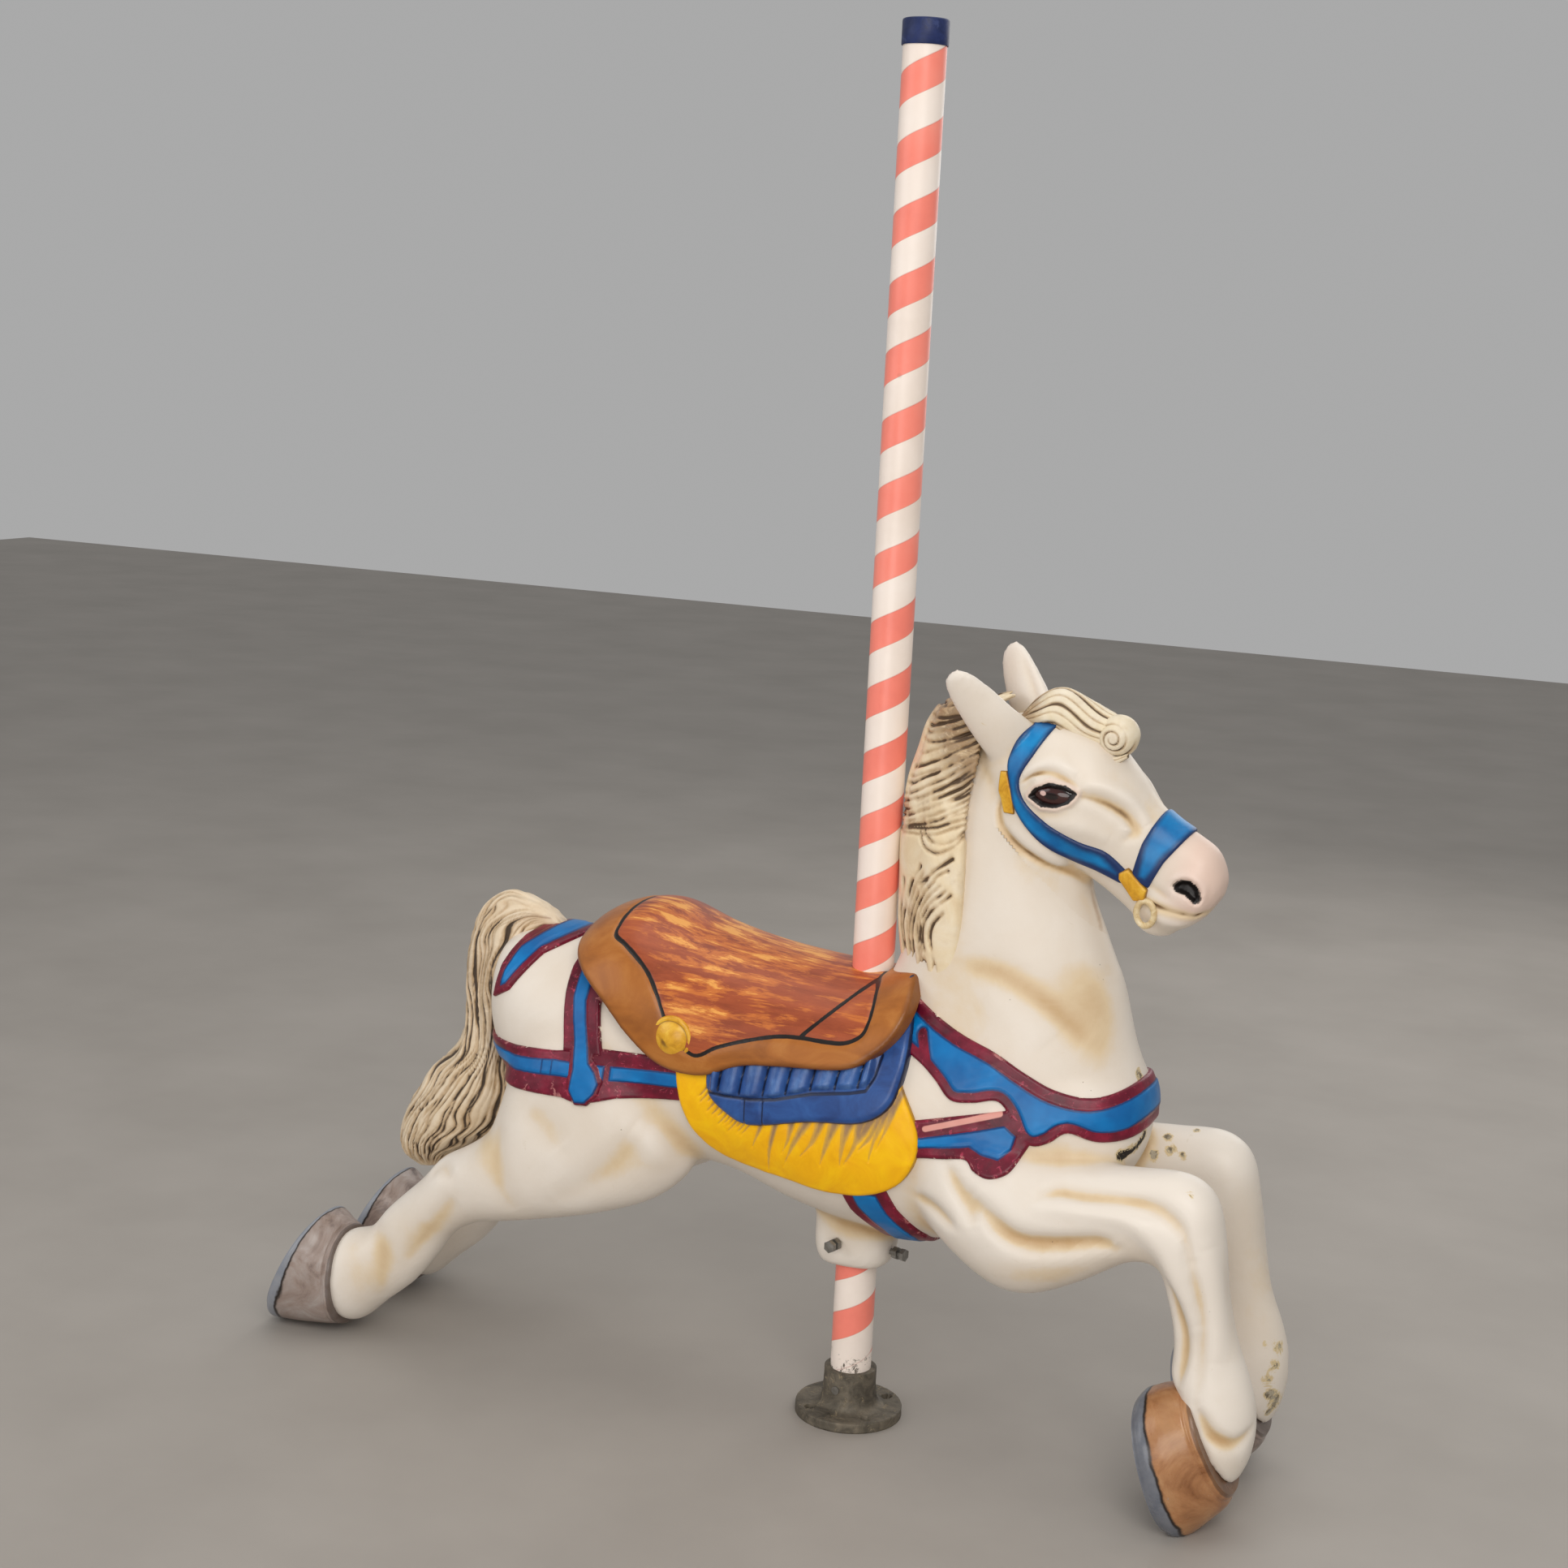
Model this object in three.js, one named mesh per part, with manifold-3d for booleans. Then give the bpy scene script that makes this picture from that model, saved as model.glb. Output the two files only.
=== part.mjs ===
// A jumper from a carousel: a moulded horse on a striped pole, standing in a cast floor flange.
// Millimetres. The origin is the middle of the flange's underside, +Z runs up the pole,
// +X is the way the horse faces and +Y is the horse's left.
import * as THREE from 'three';
import { mergeVertices } from 'three/addons/utils/BufferGeometryUtils.js';
import Module from 'manifold-3d';

const wasm = await Module();
wasm.setup();

// Pole, cap and flange.
const POLE_RADIUS = 24.15;
const POLE_WALL = 3.7;
const TOTAL_HEIGHT = 1600;
const GAP = 0.3;
const ROUND_SIDES = 18;
const CAP_RADIUS = 25.8;
const CAP_HEIGHT = 28;
const CAP_TOP = 3;
const FLANGE_RADIUS = 63.5;
const FLANGE_PLATE = 12;
const FLANGE_HEIGHT = 58;
const FLANGE_FLOOR = 8;
const COLLAR_RADIUS = 31;
const COLLAR_FOOT_RADIUS = 35;
const FLANGE_EDGE = { side: 3, top: 4 };
const FLANGE_FILLET = { reach: 4, rise: 2, height: 8 };
const FLANGE_LIP = 2;
const FLANGE_HOLE_RADIUS = 5;
const FLANGE_HOLE_CIRCLE = 49;
const FLANGE_HOLE_SIDES = 8;
const FLANGE_HOLE_DEGREES = [45, 135, 225, 315];
const SET_SCREW = { radius: 5, length: 9, height: 37, azimuth: -100, sides: 12 };

// The horse's skin.
const POLL = [150, 0, 760];
const HEAD_TIP = 6;
const HEAD_TURN = 5;
const BRIDLE_RAISE = 3;
const STRAP_RAISE = 5;
const CLOTH_RAISE = 9;
const BLANKET_RAISE = 15;
const BORE_RADIUS = POLE_RADIUS + GAP;
const FARTHEST = 400;

// Ring and side counts of the lofts, and points along the outlines.
const TORSO_NET = { rings: 11, sides: 16, square: 2.15 };
const NECK_NET = { rings: 6, sides: 12 };
const THIGH_NET = { rings: 11, sides: 11 };
const FORELEG_NET = { rings: 13, sides: 11 };
const HOOF_NET = { rings: 3, sides: 12 };
const HEAD_NET = { rings: 10, sides: 13, square: 2.2 };
const EAR_NET = { rings: 4, sides: 7 };
const TAIL_NET = { rings: 10, sides: 24, flutes: 8, depth: 9, twist: 2.4 };
const MANE_NET = { depth: 7, twist: 1.6 };
const MANE_SIDES_PER_FLUTE = 3;
const FORELOCK_NET = { rings: 5, sides: 12, flutes: 4, depth: 5, twist: 2 };
const SEAT_NET = { rings: 9, sides: 15, square: 2.15 };
const BOSS_NET = { rings: 3, sides: 12, square: 3 };

// Bolts that press on the pole through the boss under the belly, each with its lock nut.
// `seat` is how far from the pole's axis the nut sits.
const BOLT = { radius: 4, hexRadius: 7.5, nutHeight: 6.5, headHeight: 5.5, free: 4, sides: 6 };
const BOLT_HOLE = { from: 10, to: 80, sides: 8 };
const SHANK_SHORT = 1;
const POLE_BOLTS = [
  { azimuth: -104, height: 222, seat: 42.5 },
  { azimuth: -12, height: 213, seat: 51 },
];

// ---------------------------------------------------------------- tools

// A closed three.js geometry as a solid that can be joined and cut.
function solidOf(geometry) {
  const bare = geometry.index ? geometry.clone() : geometry;
  bare.deleteAttribute('normal');
  bare.deleteAttribute('uv');
  const merged = mergeVertices(bare, 1e-4);
  return new wasm.Manifold(new wasm.Mesh({
    numProp: 3,
    vertProperties: new Float32Array(merged.attributes.position.array),
    triVerts: new Uint32Array(merged.index.array),
  }));
}

function geometryOf(solid) {
  const mesh = solid.getMesh();
  const geometry = new THREE.BufferGeometry();
  geometry.setAttribute('position', new THREE.BufferAttribute(new Float32Array(mesh.vertProperties), 3));
  geometry.setIndex(new THREE.BufferAttribute(new Uint32Array(mesh.triVerts), 1));
  geometry.computeVertexNormals();
  return geometry;
}

function joined(solids) {
  return solids.reduce((whole, solid) => whole.add(solid));
}

// An oval section whose two edge points lie in an upright plane along the horse:
// `one` and `two` are [x, z], `half` is half its width across the horse.
function oval(one, two, half, y = 0) {
  return {
    centre: new THREE.Vector3((one[0] + two[0]) / 2, y, (one[1] + two[1]) / 2),
    long: new THREE.Vector3((one[0] - two[0]) / 2, 0, (one[1] - two[1]) / 2),
    wide: new THREE.Vector3(0, half, 0),
  };
}

function grownVector(vector, grow) {
  return vector.clone().setLength(vector.length() + grow);
}

// A closed skin through a row of oval sections. `square` above 2 squares the ovals,
// and `flutes` grooves of `depth` turn by `twist` radians along the row.
function loft(sections, { rings, sides, grow = 0, square = 2, flutes = 0, depth = 0, twist = 0 }) {
  const curve = (part) => new THREE.CatmullRomCurve3(sections.map(part), false, 'catmullrom', 0.5);
  const centres = curve((section) => section.centre);
  const longs = curve((section) => grownVector(section.long, grow));
  const wides = curve((section) => grownVector(section.wide, grow));
  const positions = [];
  const indices = [];
  for (let ring = 0; ring <= rings; ring += 1) {
    const along = ring / rings;
    const centre = centres.getPoint(along);
    const long = longs.getPoint(along);
    const wide = wides.getPoint(along);
    const groove = depth * Math.sin(Math.PI * Math.min(1, along * 1.2 + 0.1)) / long.length();
    for (let side = 0; side < sides; side += 1) {
      const angle = (side / sides) * 2 * Math.PI;
      const cos = Math.cos(angle);
      const sin = Math.sin(angle);
      const wave = 1 - groove * (0.5 - 0.5 * Math.cos(flutes * angle + twist * along));
      const along1 = Math.sign(cos) * Math.abs(cos) ** (2 / square) * wave;
      const along2 = Math.sign(sin) * Math.abs(sin) ** (2 / square) * wave;
      const point = centre.clone().addScaledVector(long, along1).addScaledVector(wide, along2);
      positions.push(point.x, point.y, point.z);
    }
  }
  for (let ring = 0; ring < rings; ring += 1) {
    for (let side = 0; side < sides; side += 1) {
      const next = (side + 1) % sides;
      const a = ring * sides + side;
      const b = ring * sides + next;
      indices.push(a, b, a + sides, b, b + sides, a + sides);
    }
  }
  for (const [ring, flip] of [[0, true], [rings, false]]) {
    const middle = centres.getPoint(ring / rings);
    const tip = positions.length / 3;
    positions.push(middle.x, middle.y, middle.z);
    for (let side = 0; side < sides; side += 1) {
      const a = ring * sides + side;
      const b = ring * sides + ((side + 1) % sides);
      indices.push(...(flip ? [tip, b, a] : [tip, a, b]));
    }
  }
  return solidOf(facingOut(positions, indices));
}

// The skin with its faces pointing out, whichever way its sections ran.
function facingOut(positions, indices) {
  const [a, b, c] = [new THREE.Vector3(), new THREE.Vector3(), new THREE.Vector3()];
  let volume = 0;
  for (let corner = 0; corner < indices.length; corner += 3) {
    a.fromArray(positions, indices[corner] * 3);
    b.fromArray(positions, indices[corner + 1] * 3);
    c.fromArray(positions, indices[corner + 2] * 3);
    volume += a.dot(b.cross(c));
  }
  const geometry = new THREE.BufferGeometry();
  geometry.setAttribute('position', new THREE.Float32BufferAttribute(positions, 3));
  geometry.setIndex(volume > 0 ? indices : indices.reverse());
  return geometry;
}

function ball({ centre, radii, widthSides, heightSides, turn = 0 }) {
  const geometry = new THREE.SphereGeometry(1, widthSides, heightSides);
  geometry.scale(...radii);
  geometry.rotateY(turn);
  geometry.translate(...centre);
  return solidOf(geometry);
}

// A side outline of [x, z] points, as a block right through the horse.
function acrossHorse(points, fromY = -FARTHEST, toY = FARTHEST) {
  const shape = new THREE.Shape(points.map(([x, z]) => new THREE.Vector2(x, z)));
  const geometry = new THREE.ExtrudeGeometry(shape, { depth: toY - fromY, bevelEnabled: false });
  geometry.rotateX(Math.PI / 2);
  geometry.translate(0, toY, 0);
  return solidOf(geometry);
}

// A smooth line through a few [x, z] points.
function smooth(points, steps) {
  const curve = new THREE.SplineCurve(points.map(([x, z]) => new THREE.Vector2(x, z)));
  return curve.getPoints(steps).map((point) => [point.x, point.y]);
}

function mirrored(solid) {
  return solid.mirror([0, 1, 0]);
}

// ---------------------------------------------------------------- the horse's skin

const TORSO = [
  oval([-476, 505], [-476, 445], 24),
  oval([-463, 526], [-466, 392], 68),
  oval([-425, 538], [-430, 345], 100),
  oval([-370, 538], [-370, 312], 118),
  oval([-300, 540], [-295, 292], 124),
  oval([-220, 540], [-215, 290], 120),
  oval([-140, 534], [-140, 283], 118),
  oval([-60, 526], [-65, 260], 123),
  oval([20, 524], [15, 246], 126),
  oval([90, 540], [90, 243], 121),
  oval([150, 540], [165, 258], 112),
  oval([215, 520], [235, 285], 102),
  oval([285, 500], [295, 325], 84),
  oval([325, 475], [328, 372], 56),
  oval([338, 445], [338, 405], 22),
];

const NECK = [
  oval([-10, 500], [318, 378], 92),
  oval([22, 542], [338, 440], 88),
  oval([40, 590], [316, 505], 77),
  oval([46, 640], [298, 570], 69),
  oval([50, 700], [276, 625], 63),
  oval([58, 760], [256, 668], 58),
  oval([78, 815], [244, 715], 54),
  oval([118, 850], [222, 770], 44),
];

const THIGH = [
  oval([-300, 500], [-180, 330], 44, -70),
  oval([-370, 470], [-185, 290], 64, -72),
  oval([-412, 410], [-225, 250], 68, -76),
  oval([-430, 345], [-290, 222], 66, -80),
  oval([-446, 300], [-360, 202], 58, -83),
  oval([-480, 272], [-420, 187], 48, -85),
  oval([-514, 252], [-458, 178], 42, -85),
  oval([-535, 226], [-495, 156], 39, -85),
  oval([-566, 196], [-522, 118], 36, -85),
  oval([-593, 169], [-552, 80], 37, -85),
  oval([-611, 144], [-592, 46], 42, -85),
  oval([-632, 136], [-624, 17], 47, -85),
  oval([-655, 130], [-652, 14], 48, -85),
];

const FORELEG = [
  oval([90, 430], [100, 300], 40, -70),
  oval([150, 420], [135, 268], 58, -74),
  oval([200, 405], [190, 233], 62, -78),
  oval([245, 392], [238, 228], 58, -82),
  oval([300, 390], [296, 254], 50, -84),
  oval([355, 394], [350, 288], 43, -84),
  oval([405, 397], [380, 288], 41, -84),
  oval([438, 375], [388, 274], 42, -84),
  oval([452, 325], [393, 256], 38, -84),
  oval([460, 270], [400, 230], 33, -84),
  oval([474, 218], [404, 200], 32, -84),
  oval([491, 176], [402, 172], 36, -84),
  oval([500, 136], [410, 158], 40, -84),
  oval([497, 92], [418, 150], 42, -84),
  oval([482, 56], [424, 146], 44, -84),
];

const HIND_HOOF = [
  oval([-646, 134], [-644, 10], 52, -85),
  oval([-660, 140], [-668, 6], 57, -85),
  oval([-676, 151], [-736, 1], 66, -85),
  oval([-682, 147], [-746, 12], 64, -85),
];

const FORE_HOOF = [
  oval([484, 52], [428, 160], 50, -84),
  oval([474, 30], [408, 158], 56, -84),
  oval([438, -8], [378, 144], 64, -84),
  oval([420, -6], [368, 132], 62, -84),
];

// Everything below the floor, and the part of the horse that straps can lie on.
const FLOOR = acrossHorse([[-900, -100], [700, -100], [700, 0], [-900, 0]]);
const TRUNK = acrossHorse([[-600, 170], [420, 170], [420, 650], [-600, 650]]);

// Everything that straps and cloths lie on, grown outwards by `grow`.
function skin(grow = 0) {
  const thigh = loft(THIGH, { ...THIGH_NET, grow });
  const foreleg = loft(FORELEG, { ...FORELEG_NET, grow });
  return joined([
    loft(TORSO, { ...TORSO_NET, grow }),
    loft(NECK, { ...NECK_NET, grow }),
    thigh,
    mirrored(thigh),
    foreleg,
    mirrored(foreleg),
  ]);
}

function hooves() {
  const hind = loft(HIND_HOOF, HOOF_NET);
  const fore = loft(FORE_HOOF, HOOF_NET);
  return joined([hind, mirrored(hind), fore, mirrored(fore)]).subtract(FLOOR);
}

// ---------------------------------------------------------------- head

const HEAD = [
  oval([112, 846], [136, 770], 34),
  oval([160, 862], [160, 738], 54),
  oval([215, 864], [196, 716], 64),
  oval([262, 848], [232, 703], 61),
  oval([297, 817], [260, 688], 50),
  oval([322, 785], [284, 672], 42),
  oval([347, 766], [302, 658], 38),
  oval([372, 753], [318, 644], 38),
  oval([394, 738], [340, 640], 39),
  oval([405, 712], [367, 650], 33),
  oval([404, 692], [386, 664], 16),
];

function ear() {
  const sections = [
    { centre: [171, -34, 832], long: [14, 6, 30], wide: [9, -15, 2] },
    { centre: [153, -50, 857], long: [16, 3, 25], wide: [9, -12, 1] },
    { centre: [134, -63, 884], long: [15, 2, 20], wide: [7, -10, 1] },
    { centre: [120, -74, 904], long: [12, 1, 15], wide: [6, -7, 1] },
    { centre: [111, -82, 917], long: [7, 0, 8], wide: [4, -4, 0] },
  ].map(({ centre, long, wide }) => ({
    centre: new THREE.Vector3(...centre),
    long: new THREE.Vector3(...long),
    wide: new THREE.Vector3(...wide),
  }));
  return loft(sections, EAR_NET);
}

// Rounded lumps of the head's near side: the brow, the jowl, the nostril and the chin.
const LUMPS = [
  { centre: [224, -54, 803], radii: [34, 14, 11], widthSides: 8, heightSides: 5, turn: 0.35 },
  { centre: [202, -34, 758], radii: [57, 27, 60], widthSides: 9, heightSides: 5 },
  { centre: [373, -24, 692], radii: [23, 17, 20], widthSides: 8, heightSides: 5 },
  { centre: [330, 0, 652], radii: [26, 24, 18], widthSides: 7, heightSides: 5, turn: 0.2 },
];

const NOSEBAND = [[346, 800], [376, 780], [320, 688], [296, 700]];

const CHEEK_STRAP = [
  ...smooth([[190, 856], [168, 828], [158, 800], [172, 762], [203, 736], [239, 718], [271, 709],
    [298, 699]], 6),
  ...smooth([[303, 716], [283, 730], [258, 741], [216, 749], [193, 766], [178, 788], [177, 804], [189, 820],
    [212, 856]], 6),
];

// The head tips and turns a little to the horse's right.
function tipped(solid) {
  const [x, y, z] = POLL;
  return solid.translate([-x, -y, -z]).rotate([HEAD_TIP, 0, -HEAD_TURN]).translate([x, y, z]);
}

function bridle() {
  const skull = loft(HEAD, { ...HEAD_NET, grow: BRIDLE_RAISE });
  return skull.intersect(acrossHorse(NOSEBAND).add(acrossHorse(CHEEK_STRAP)));
}

function head() {
  const lumps = LUMPS.map(ball);
  const nearEar = ear();
  return tipped(joined([
    loft(HEAD, HEAD_NET),
    ...lumps,
    ...lumps.map(mirrored),
    bridle(),
    forelock(),
    nearEar, mirrored(nearEar),
  ]));
}

// ---------------------------------------------------------------- hair

const TAIL = [
  oval([-440, 566], [-400, 540], 14),
  oval([-478, 574], [-420, 532], 24),
  oval([-514, 550], [-430, 512], 33),
  oval([-531, 508], [-437, 486], 40),
  oval([-535, 455], [-441, 448], 45),
  oval([-533, 408], [-440, 404], 49),
  oval([-545, 370], [-437, 356], 52),
  oval([-578, 336], [-437, 312], 54),
  oval([-606, 292], [-470, 272], 51),
  oval([-622, 250], [-508, 248], 43),
  oval([-620, 218], [-546, 228], 29),
  oval([-600, 202], [-570, 206], 10),
];

function tail() {
  return loft(TAIL, TAIL_NET);
}

// The mane's fall beside the neck: x and z of its root line, its spread, thickness and tilt.
const MANE = [
  [126, 878, 20, 12, 4],
  [84, 869, 44, 22, 2],
  [64, 842, 53, 23, -2],
  [54, 804, 57, 24, -6],
  [44, 760, 60, 26, -10],
  [40, 700, 64, 27, -14],
  [42, 640, 62, 27, -18],
  [44, 585, 56, 24, -20],
  [50, 540, 40, 18, -16],
  [62, 508, 16, 8, -8],
];

// One side's fall of mane: it lies against the neck from the crest forwards.
function mane(reach, flutes, rings) {
  const sections = MANE.map(([x, z, long, thick, tilt]) => ({
    centre: new THREE.Vector3(x + long * 0.55 * reach, -long * 0.42 * reach, z),
    long: new THREE.Vector3(long * 0.75 * reach, -long * 0.62 * reach, tilt),
    wide: new THREE.Vector3(thick * 0.64, thick * 0.77, 0),
  }));
  return loft(sections, { ...MANE_NET, rings, sides: MANE_SIDES_PER_FLUTE * flutes, flutes });
}

const FORELOCK = [
  oval([150, 846], [176, 872], 26),
  oval([184, 886], [190, 846], 30),
  oval([214, 899], [208, 842], 29),
  oval([250, 884], [232, 838], 25),
  oval([274, 874], [260, 834], 20),
];

const CURL = { centre: [278, -4, 853], radii: [23, 23, 23], widthSides: 10, heightSides: 6 };

function forelock() {
  return loft(FORELOCK, FORELOCK_NET).add(ball(CURL));
}

// ---------------------------------------------------------------- saddle and trappings

const SEAT = [
  oval([-352, 536], [-352, 400], 84),
  oval([-345, 560], [-345, 380], 108),
  oval([-312, 582], [-312, 370], 126),
  oval([-262, 591], [-262, 360], 134),
  oval([-195, 571], [-195, 340], 134),
  oval([-125, 557], [-125, 330], 136),
  oval([-40, 549], [-40, 320], 140),
  oval([20, 549], [20, 320], 140),
  oval([60, 564], [60, 320], 137),
  oval([84, 574], [84, 330], 132),
];

const FLAP = [
  ...smooth([[-354, 546], [-330, 529], [-283, 495], [-248, 460], [-216, 434], [-188, 425], [-150, 427],
    [-104, 447], [-55, 455], [18, 463], [49, 480], [72, 506], [80, 540], [66, 572], [40, 592]], 13),
  [40, 680],
  [-360, 680],
];

const CLOTH = [
  ...smooth([[-190, 430], [-182, 386], [-162, 348], [-124, 327], [-60, 319], [2, 312], [55, 319],
    [90, 339], [109, 370], [108, 404], [86, 447]], 11),
  [70, 500],
  [-186, 500],
];

const BLANKET = [
  ...smooth([[-149, 440], [-146, 406], [-122, 386], [-88, 377], [-18, 393], [44, 402], [76, 424],
    [87, 460], [86, 500], [72, 560]], 10),
  [-140, 500],
];

const COLLAR = [
  ...smooth([[50, 556], [100, 528], [140, 510], [180, 496], [215, 478], [250, 463], [290, 458],
    [325, 470], [352, 492]], 8),
  [370, 492],
  [370, 428],
  ...smooth([[352, 428], [330, 415], [300, 412], [270, 420], [252, 408], [235, 402], [219, 410],
    [205, 434], [190, 446], [165, 441], [140, 441], [120, 460], [98, 476], [60, 494]], 14),
];

const SHOULDER_STRAP = [
  [96, 412], [206, 438], [232, 404],
  ...smooth([[226, 392], [216, 374], [196, 366], [178, 371], [166, 381], [140, 377], [96, 369]], 7),
];

const HIP_STRAP = [
  [-500, 412], [-405, 416], [-340, 424], [-289, 434], [-180, 436],
  [-180, 388], [-260, 380], [-303, 368], [-326, 373], [-398, 369], [-500, 366],
];

const CROUP_STRAP = [
  [-281, 425], [-294, 481], [-295, 520], [-306, 600], [-335, 600], [-346, 513], [-342, 486], [-330, 425],
];

const CRUPPER = [
  [-346, 536], [-388, 512], [-417, 474], [-450, 462], [-446, 500], [-434, 530], [-404, 556], [-350, 570],
];

const GIRTH = [[14, 330], [70, 330], [82, 300], [106, 262], [112, 200], [58, 200], [48, 262], [26, 292]];

function trappings() {
  const straps = [COLLAR, SHOULDER_STRAP, HIP_STRAP, CROUP_STRAP, CRUPPER, GIRTH].map((outline) => (
    acrossHorse(outline)
  ));
  const raised = skin(STRAP_RAISE).intersect(TRUNK).intersect(joined(straps));
  const cloth = skin(CLOTH_RAISE).intersect(acrossHorse(CLOTH));
  const blanket = skin(BLANKET_RAISE).intersect(acrossHorse(BLANKET));
  const saddle = loft(SEAT, SEAT_NET).intersect(acrossHorse(FLAP));
  const rosette = button();
  return joined([raised, cloth, blanket, saddle, rosette, mirrored(rosette), ...rolls()]);
}

// The ribs of the rolled blanket under each saddle flap, set one behind the other.
const ROLL = { count: 6, first: [-112, -136, 430], along: 29, up: 2.5, radii: [13, 11, 20] };

function rolls() {
  const [x, y, z] = ROLL.first;
  const ribs = [];
  for (let rib = 0; rib < ROLL.count; rib += 1) {
    const centre = [x + rib * ROLL.along, y, z + rib * ROLL.up];
    const shape = ball({ centre, radii: ROLL.radii, widthSides: 6, heightSides: 3 });
    ribs.push(shape, mirrored(shape));
  }
  return ribs;
}

// The round rosette at the back corner of the flap: its [radius, height] profile and place.
const ROSETTE_PROFILE = [[0, -20], [26, -20], [26, 4], [22, 9], [12, 12], [0, 13]];
const ROSETTE_PLACE = [-191, -128, 464];
const ROSETTE_SIDES = 13;

function button() {
  const profile = ROSETTE_PROFILE.map(([radius, height]) => new THREE.Vector2(radius, height));
  const geometry = new THREE.LatheGeometry(profile, ROSETTE_SIDES);
  geometry.rotateX(Math.PI);
  geometry.translate(...ROSETTE_PLACE);
  return solidOf(geometry);
}

// The block under the belly that clamps the pole.
const BOSS = [
  oval([-47, 300], [49, 300], 42),
  oval([-49, 240], [48, 240], 40),
  oval([-49, 206], [46, 206], 38),
  oval([-41, 187], [38, 189], 33),
];

// A rod pointing away from the pole's axis, `from` to `to` millimetres out.
function radialRod(radius, from, to, { azimuth, height }, sides) {
  const geometry = new THREE.CylinderGeometry(radius, radius, to - from, sides);
  geometry.rotateZ(Math.PI / 2);
  geometry.translate((from + to) / 2, 0, height);
  geometry.rotateZ(THREE.MathUtils.degToRad(azimuth));
  return solidOf(geometry);
}

function horse() {
  const bore = new THREE.CylinderGeometry(BORE_RADIUS, BORE_RADIUS, TOTAL_HEIGHT, ROUND_SIDES);
  bore.rotateX(Math.PI / 2);
  bore.translate(0, 0, TOTAL_HEIGHT / 2);
  const whole = joined([
    skin(), hooves(), head(), tail(), mane(1, 7, 9), mirrored(mane(0.62, 4, 7)), trappings(),
    loft(BOSS, BOSS_NET),
  ]);
  const holes = POLE_BOLTS.map((place) => (
    radialRod(BOLT.radius + GAP, BOLT_HOLE.from, BOLT_HOLE.to, place, BOLT_HOLE.sides)
  ));
  return whole.subtract(solidOf(bore)).subtract(joined(holes)).subtract(FLOOR);
}

// ---------------------------------------------------------------- pole and iron parts

function turned(profile, sides = ROUND_SIDES) {
  const geometry = new THREE.LatheGeometry(profile.map(([r, z]) => new THREE.Vector2(r, z)), sides);
  geometry.rotateX(Math.PI / 2);
  return geometry;
}

function pole() {
  const top = TOTAL_HEIGHT - CAP_TOP - GAP;
  const bottom = FLANGE_FLOOR + GAP;
  const inner = POLE_RADIUS - POLE_WALL;
  return turned([[inner, bottom], [POLE_RADIUS, bottom], [POLE_RADIUS, top], [inner, top], [inner, bottom]]);
}

function poleCap() {
  const inner = POLE_RADIUS + GAP;
  const bottom = TOTAL_HEIGHT - CAP_HEIGHT;
  const under = TOTAL_HEIGHT - CAP_TOP;
  return turned([
    [0, under], [inner, under], [inner, bottom], [CAP_RADIUS, bottom],
    [CAP_RADIUS, TOTAL_HEIGHT], [0, TOTAL_HEIGHT],
  ]);
}

function floorFlange() {
  const socket = POLE_RADIUS + GAP;
  const body = solidOf(turned([
    [0, 0],
    [FLANGE_RADIUS, 0],
    [FLANGE_RADIUS, FLANGE_PLATE - FLANGE_EDGE.side],
    [FLANGE_RADIUS - FLANGE_EDGE.top, FLANGE_PLATE],
    [COLLAR_FOOT_RADIUS + FLANGE_FILLET.reach, FLANGE_PLATE + FLANGE_FILLET.rise],
    [COLLAR_FOOT_RADIUS, FLANGE_PLATE + FLANGE_FILLET.height],
    [COLLAR_RADIUS, FLANGE_HEIGHT - FLANGE_LIP],
    [COLLAR_RADIUS - FLANGE_LIP, FLANGE_HEIGHT],
    [socket, FLANGE_HEIGHT],
    [socket, FLANGE_FLOOR],
    [0, FLANGE_FLOOR],
  ]));
  const holes = FLANGE_HOLE_DEGREES.map((degrees) => {
    const radius = FLANGE_HOLE_RADIUS;
    const hole = new THREE.CylinderGeometry(radius, radius, FARTHEST, FLANGE_HOLE_SIDES);
    hole.rotateX(Math.PI / 2);
    const angle = THREE.MathUtils.degToRad(degrees);
    hole.translate(FLANGE_HOLE_CIRCLE * Math.cos(angle), FLANGE_HOLE_CIRCLE * Math.sin(angle), 0);
    return solidOf(hole);
  });
  return body.subtract(joined(holes)).subtract(setScrew(GAP));
}

// The screw that holds the pole in the collar, `ease` larger where it cuts its hole.
function setScrew(ease = 0) {
  const from = POLE_RADIUS + GAP - ease;
  const to = from + SET_SCREW.length + 2 * ease;
  return radialRod(SET_SCREW.radius + ease, from, to, SET_SCREW, SET_SCREW.sides);
}

function poleBolt(place) {
  const nutTop = place.seat + BOLT.nutHeight;
  const headFoot = nutTop + BOLT.free;
  const headTop = headFoot + BOLT.headHeight;
  const shank = radialRod(BOLT.radius, POLE_RADIUS + GAP, headTop - SHANK_SHORT, place, BOLT.sides);
  const nut = radialRod(BOLT.hexRadius, place.seat, nutTop, place, BOLT.sides);
  const head = radialRod(BOLT.hexRadius, headFoot, headTop, place, BOLT.sides);
  return joined([shank, nut, head]);
}

// ---------------------------------------------------------------- the scene graph

function paint(color, roughness, metalness = 0) {
  return new THREE.MeshStandardMaterial({ color, roughness, metalness });
}

function part(name, shape, material) {
  const geometry = shape.isBufferGeometry ? shape : geometryOf(shape);
  const mesh = new THREE.Mesh(geometry, material);
  mesh.name = name;
  return mesh;
}

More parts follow.
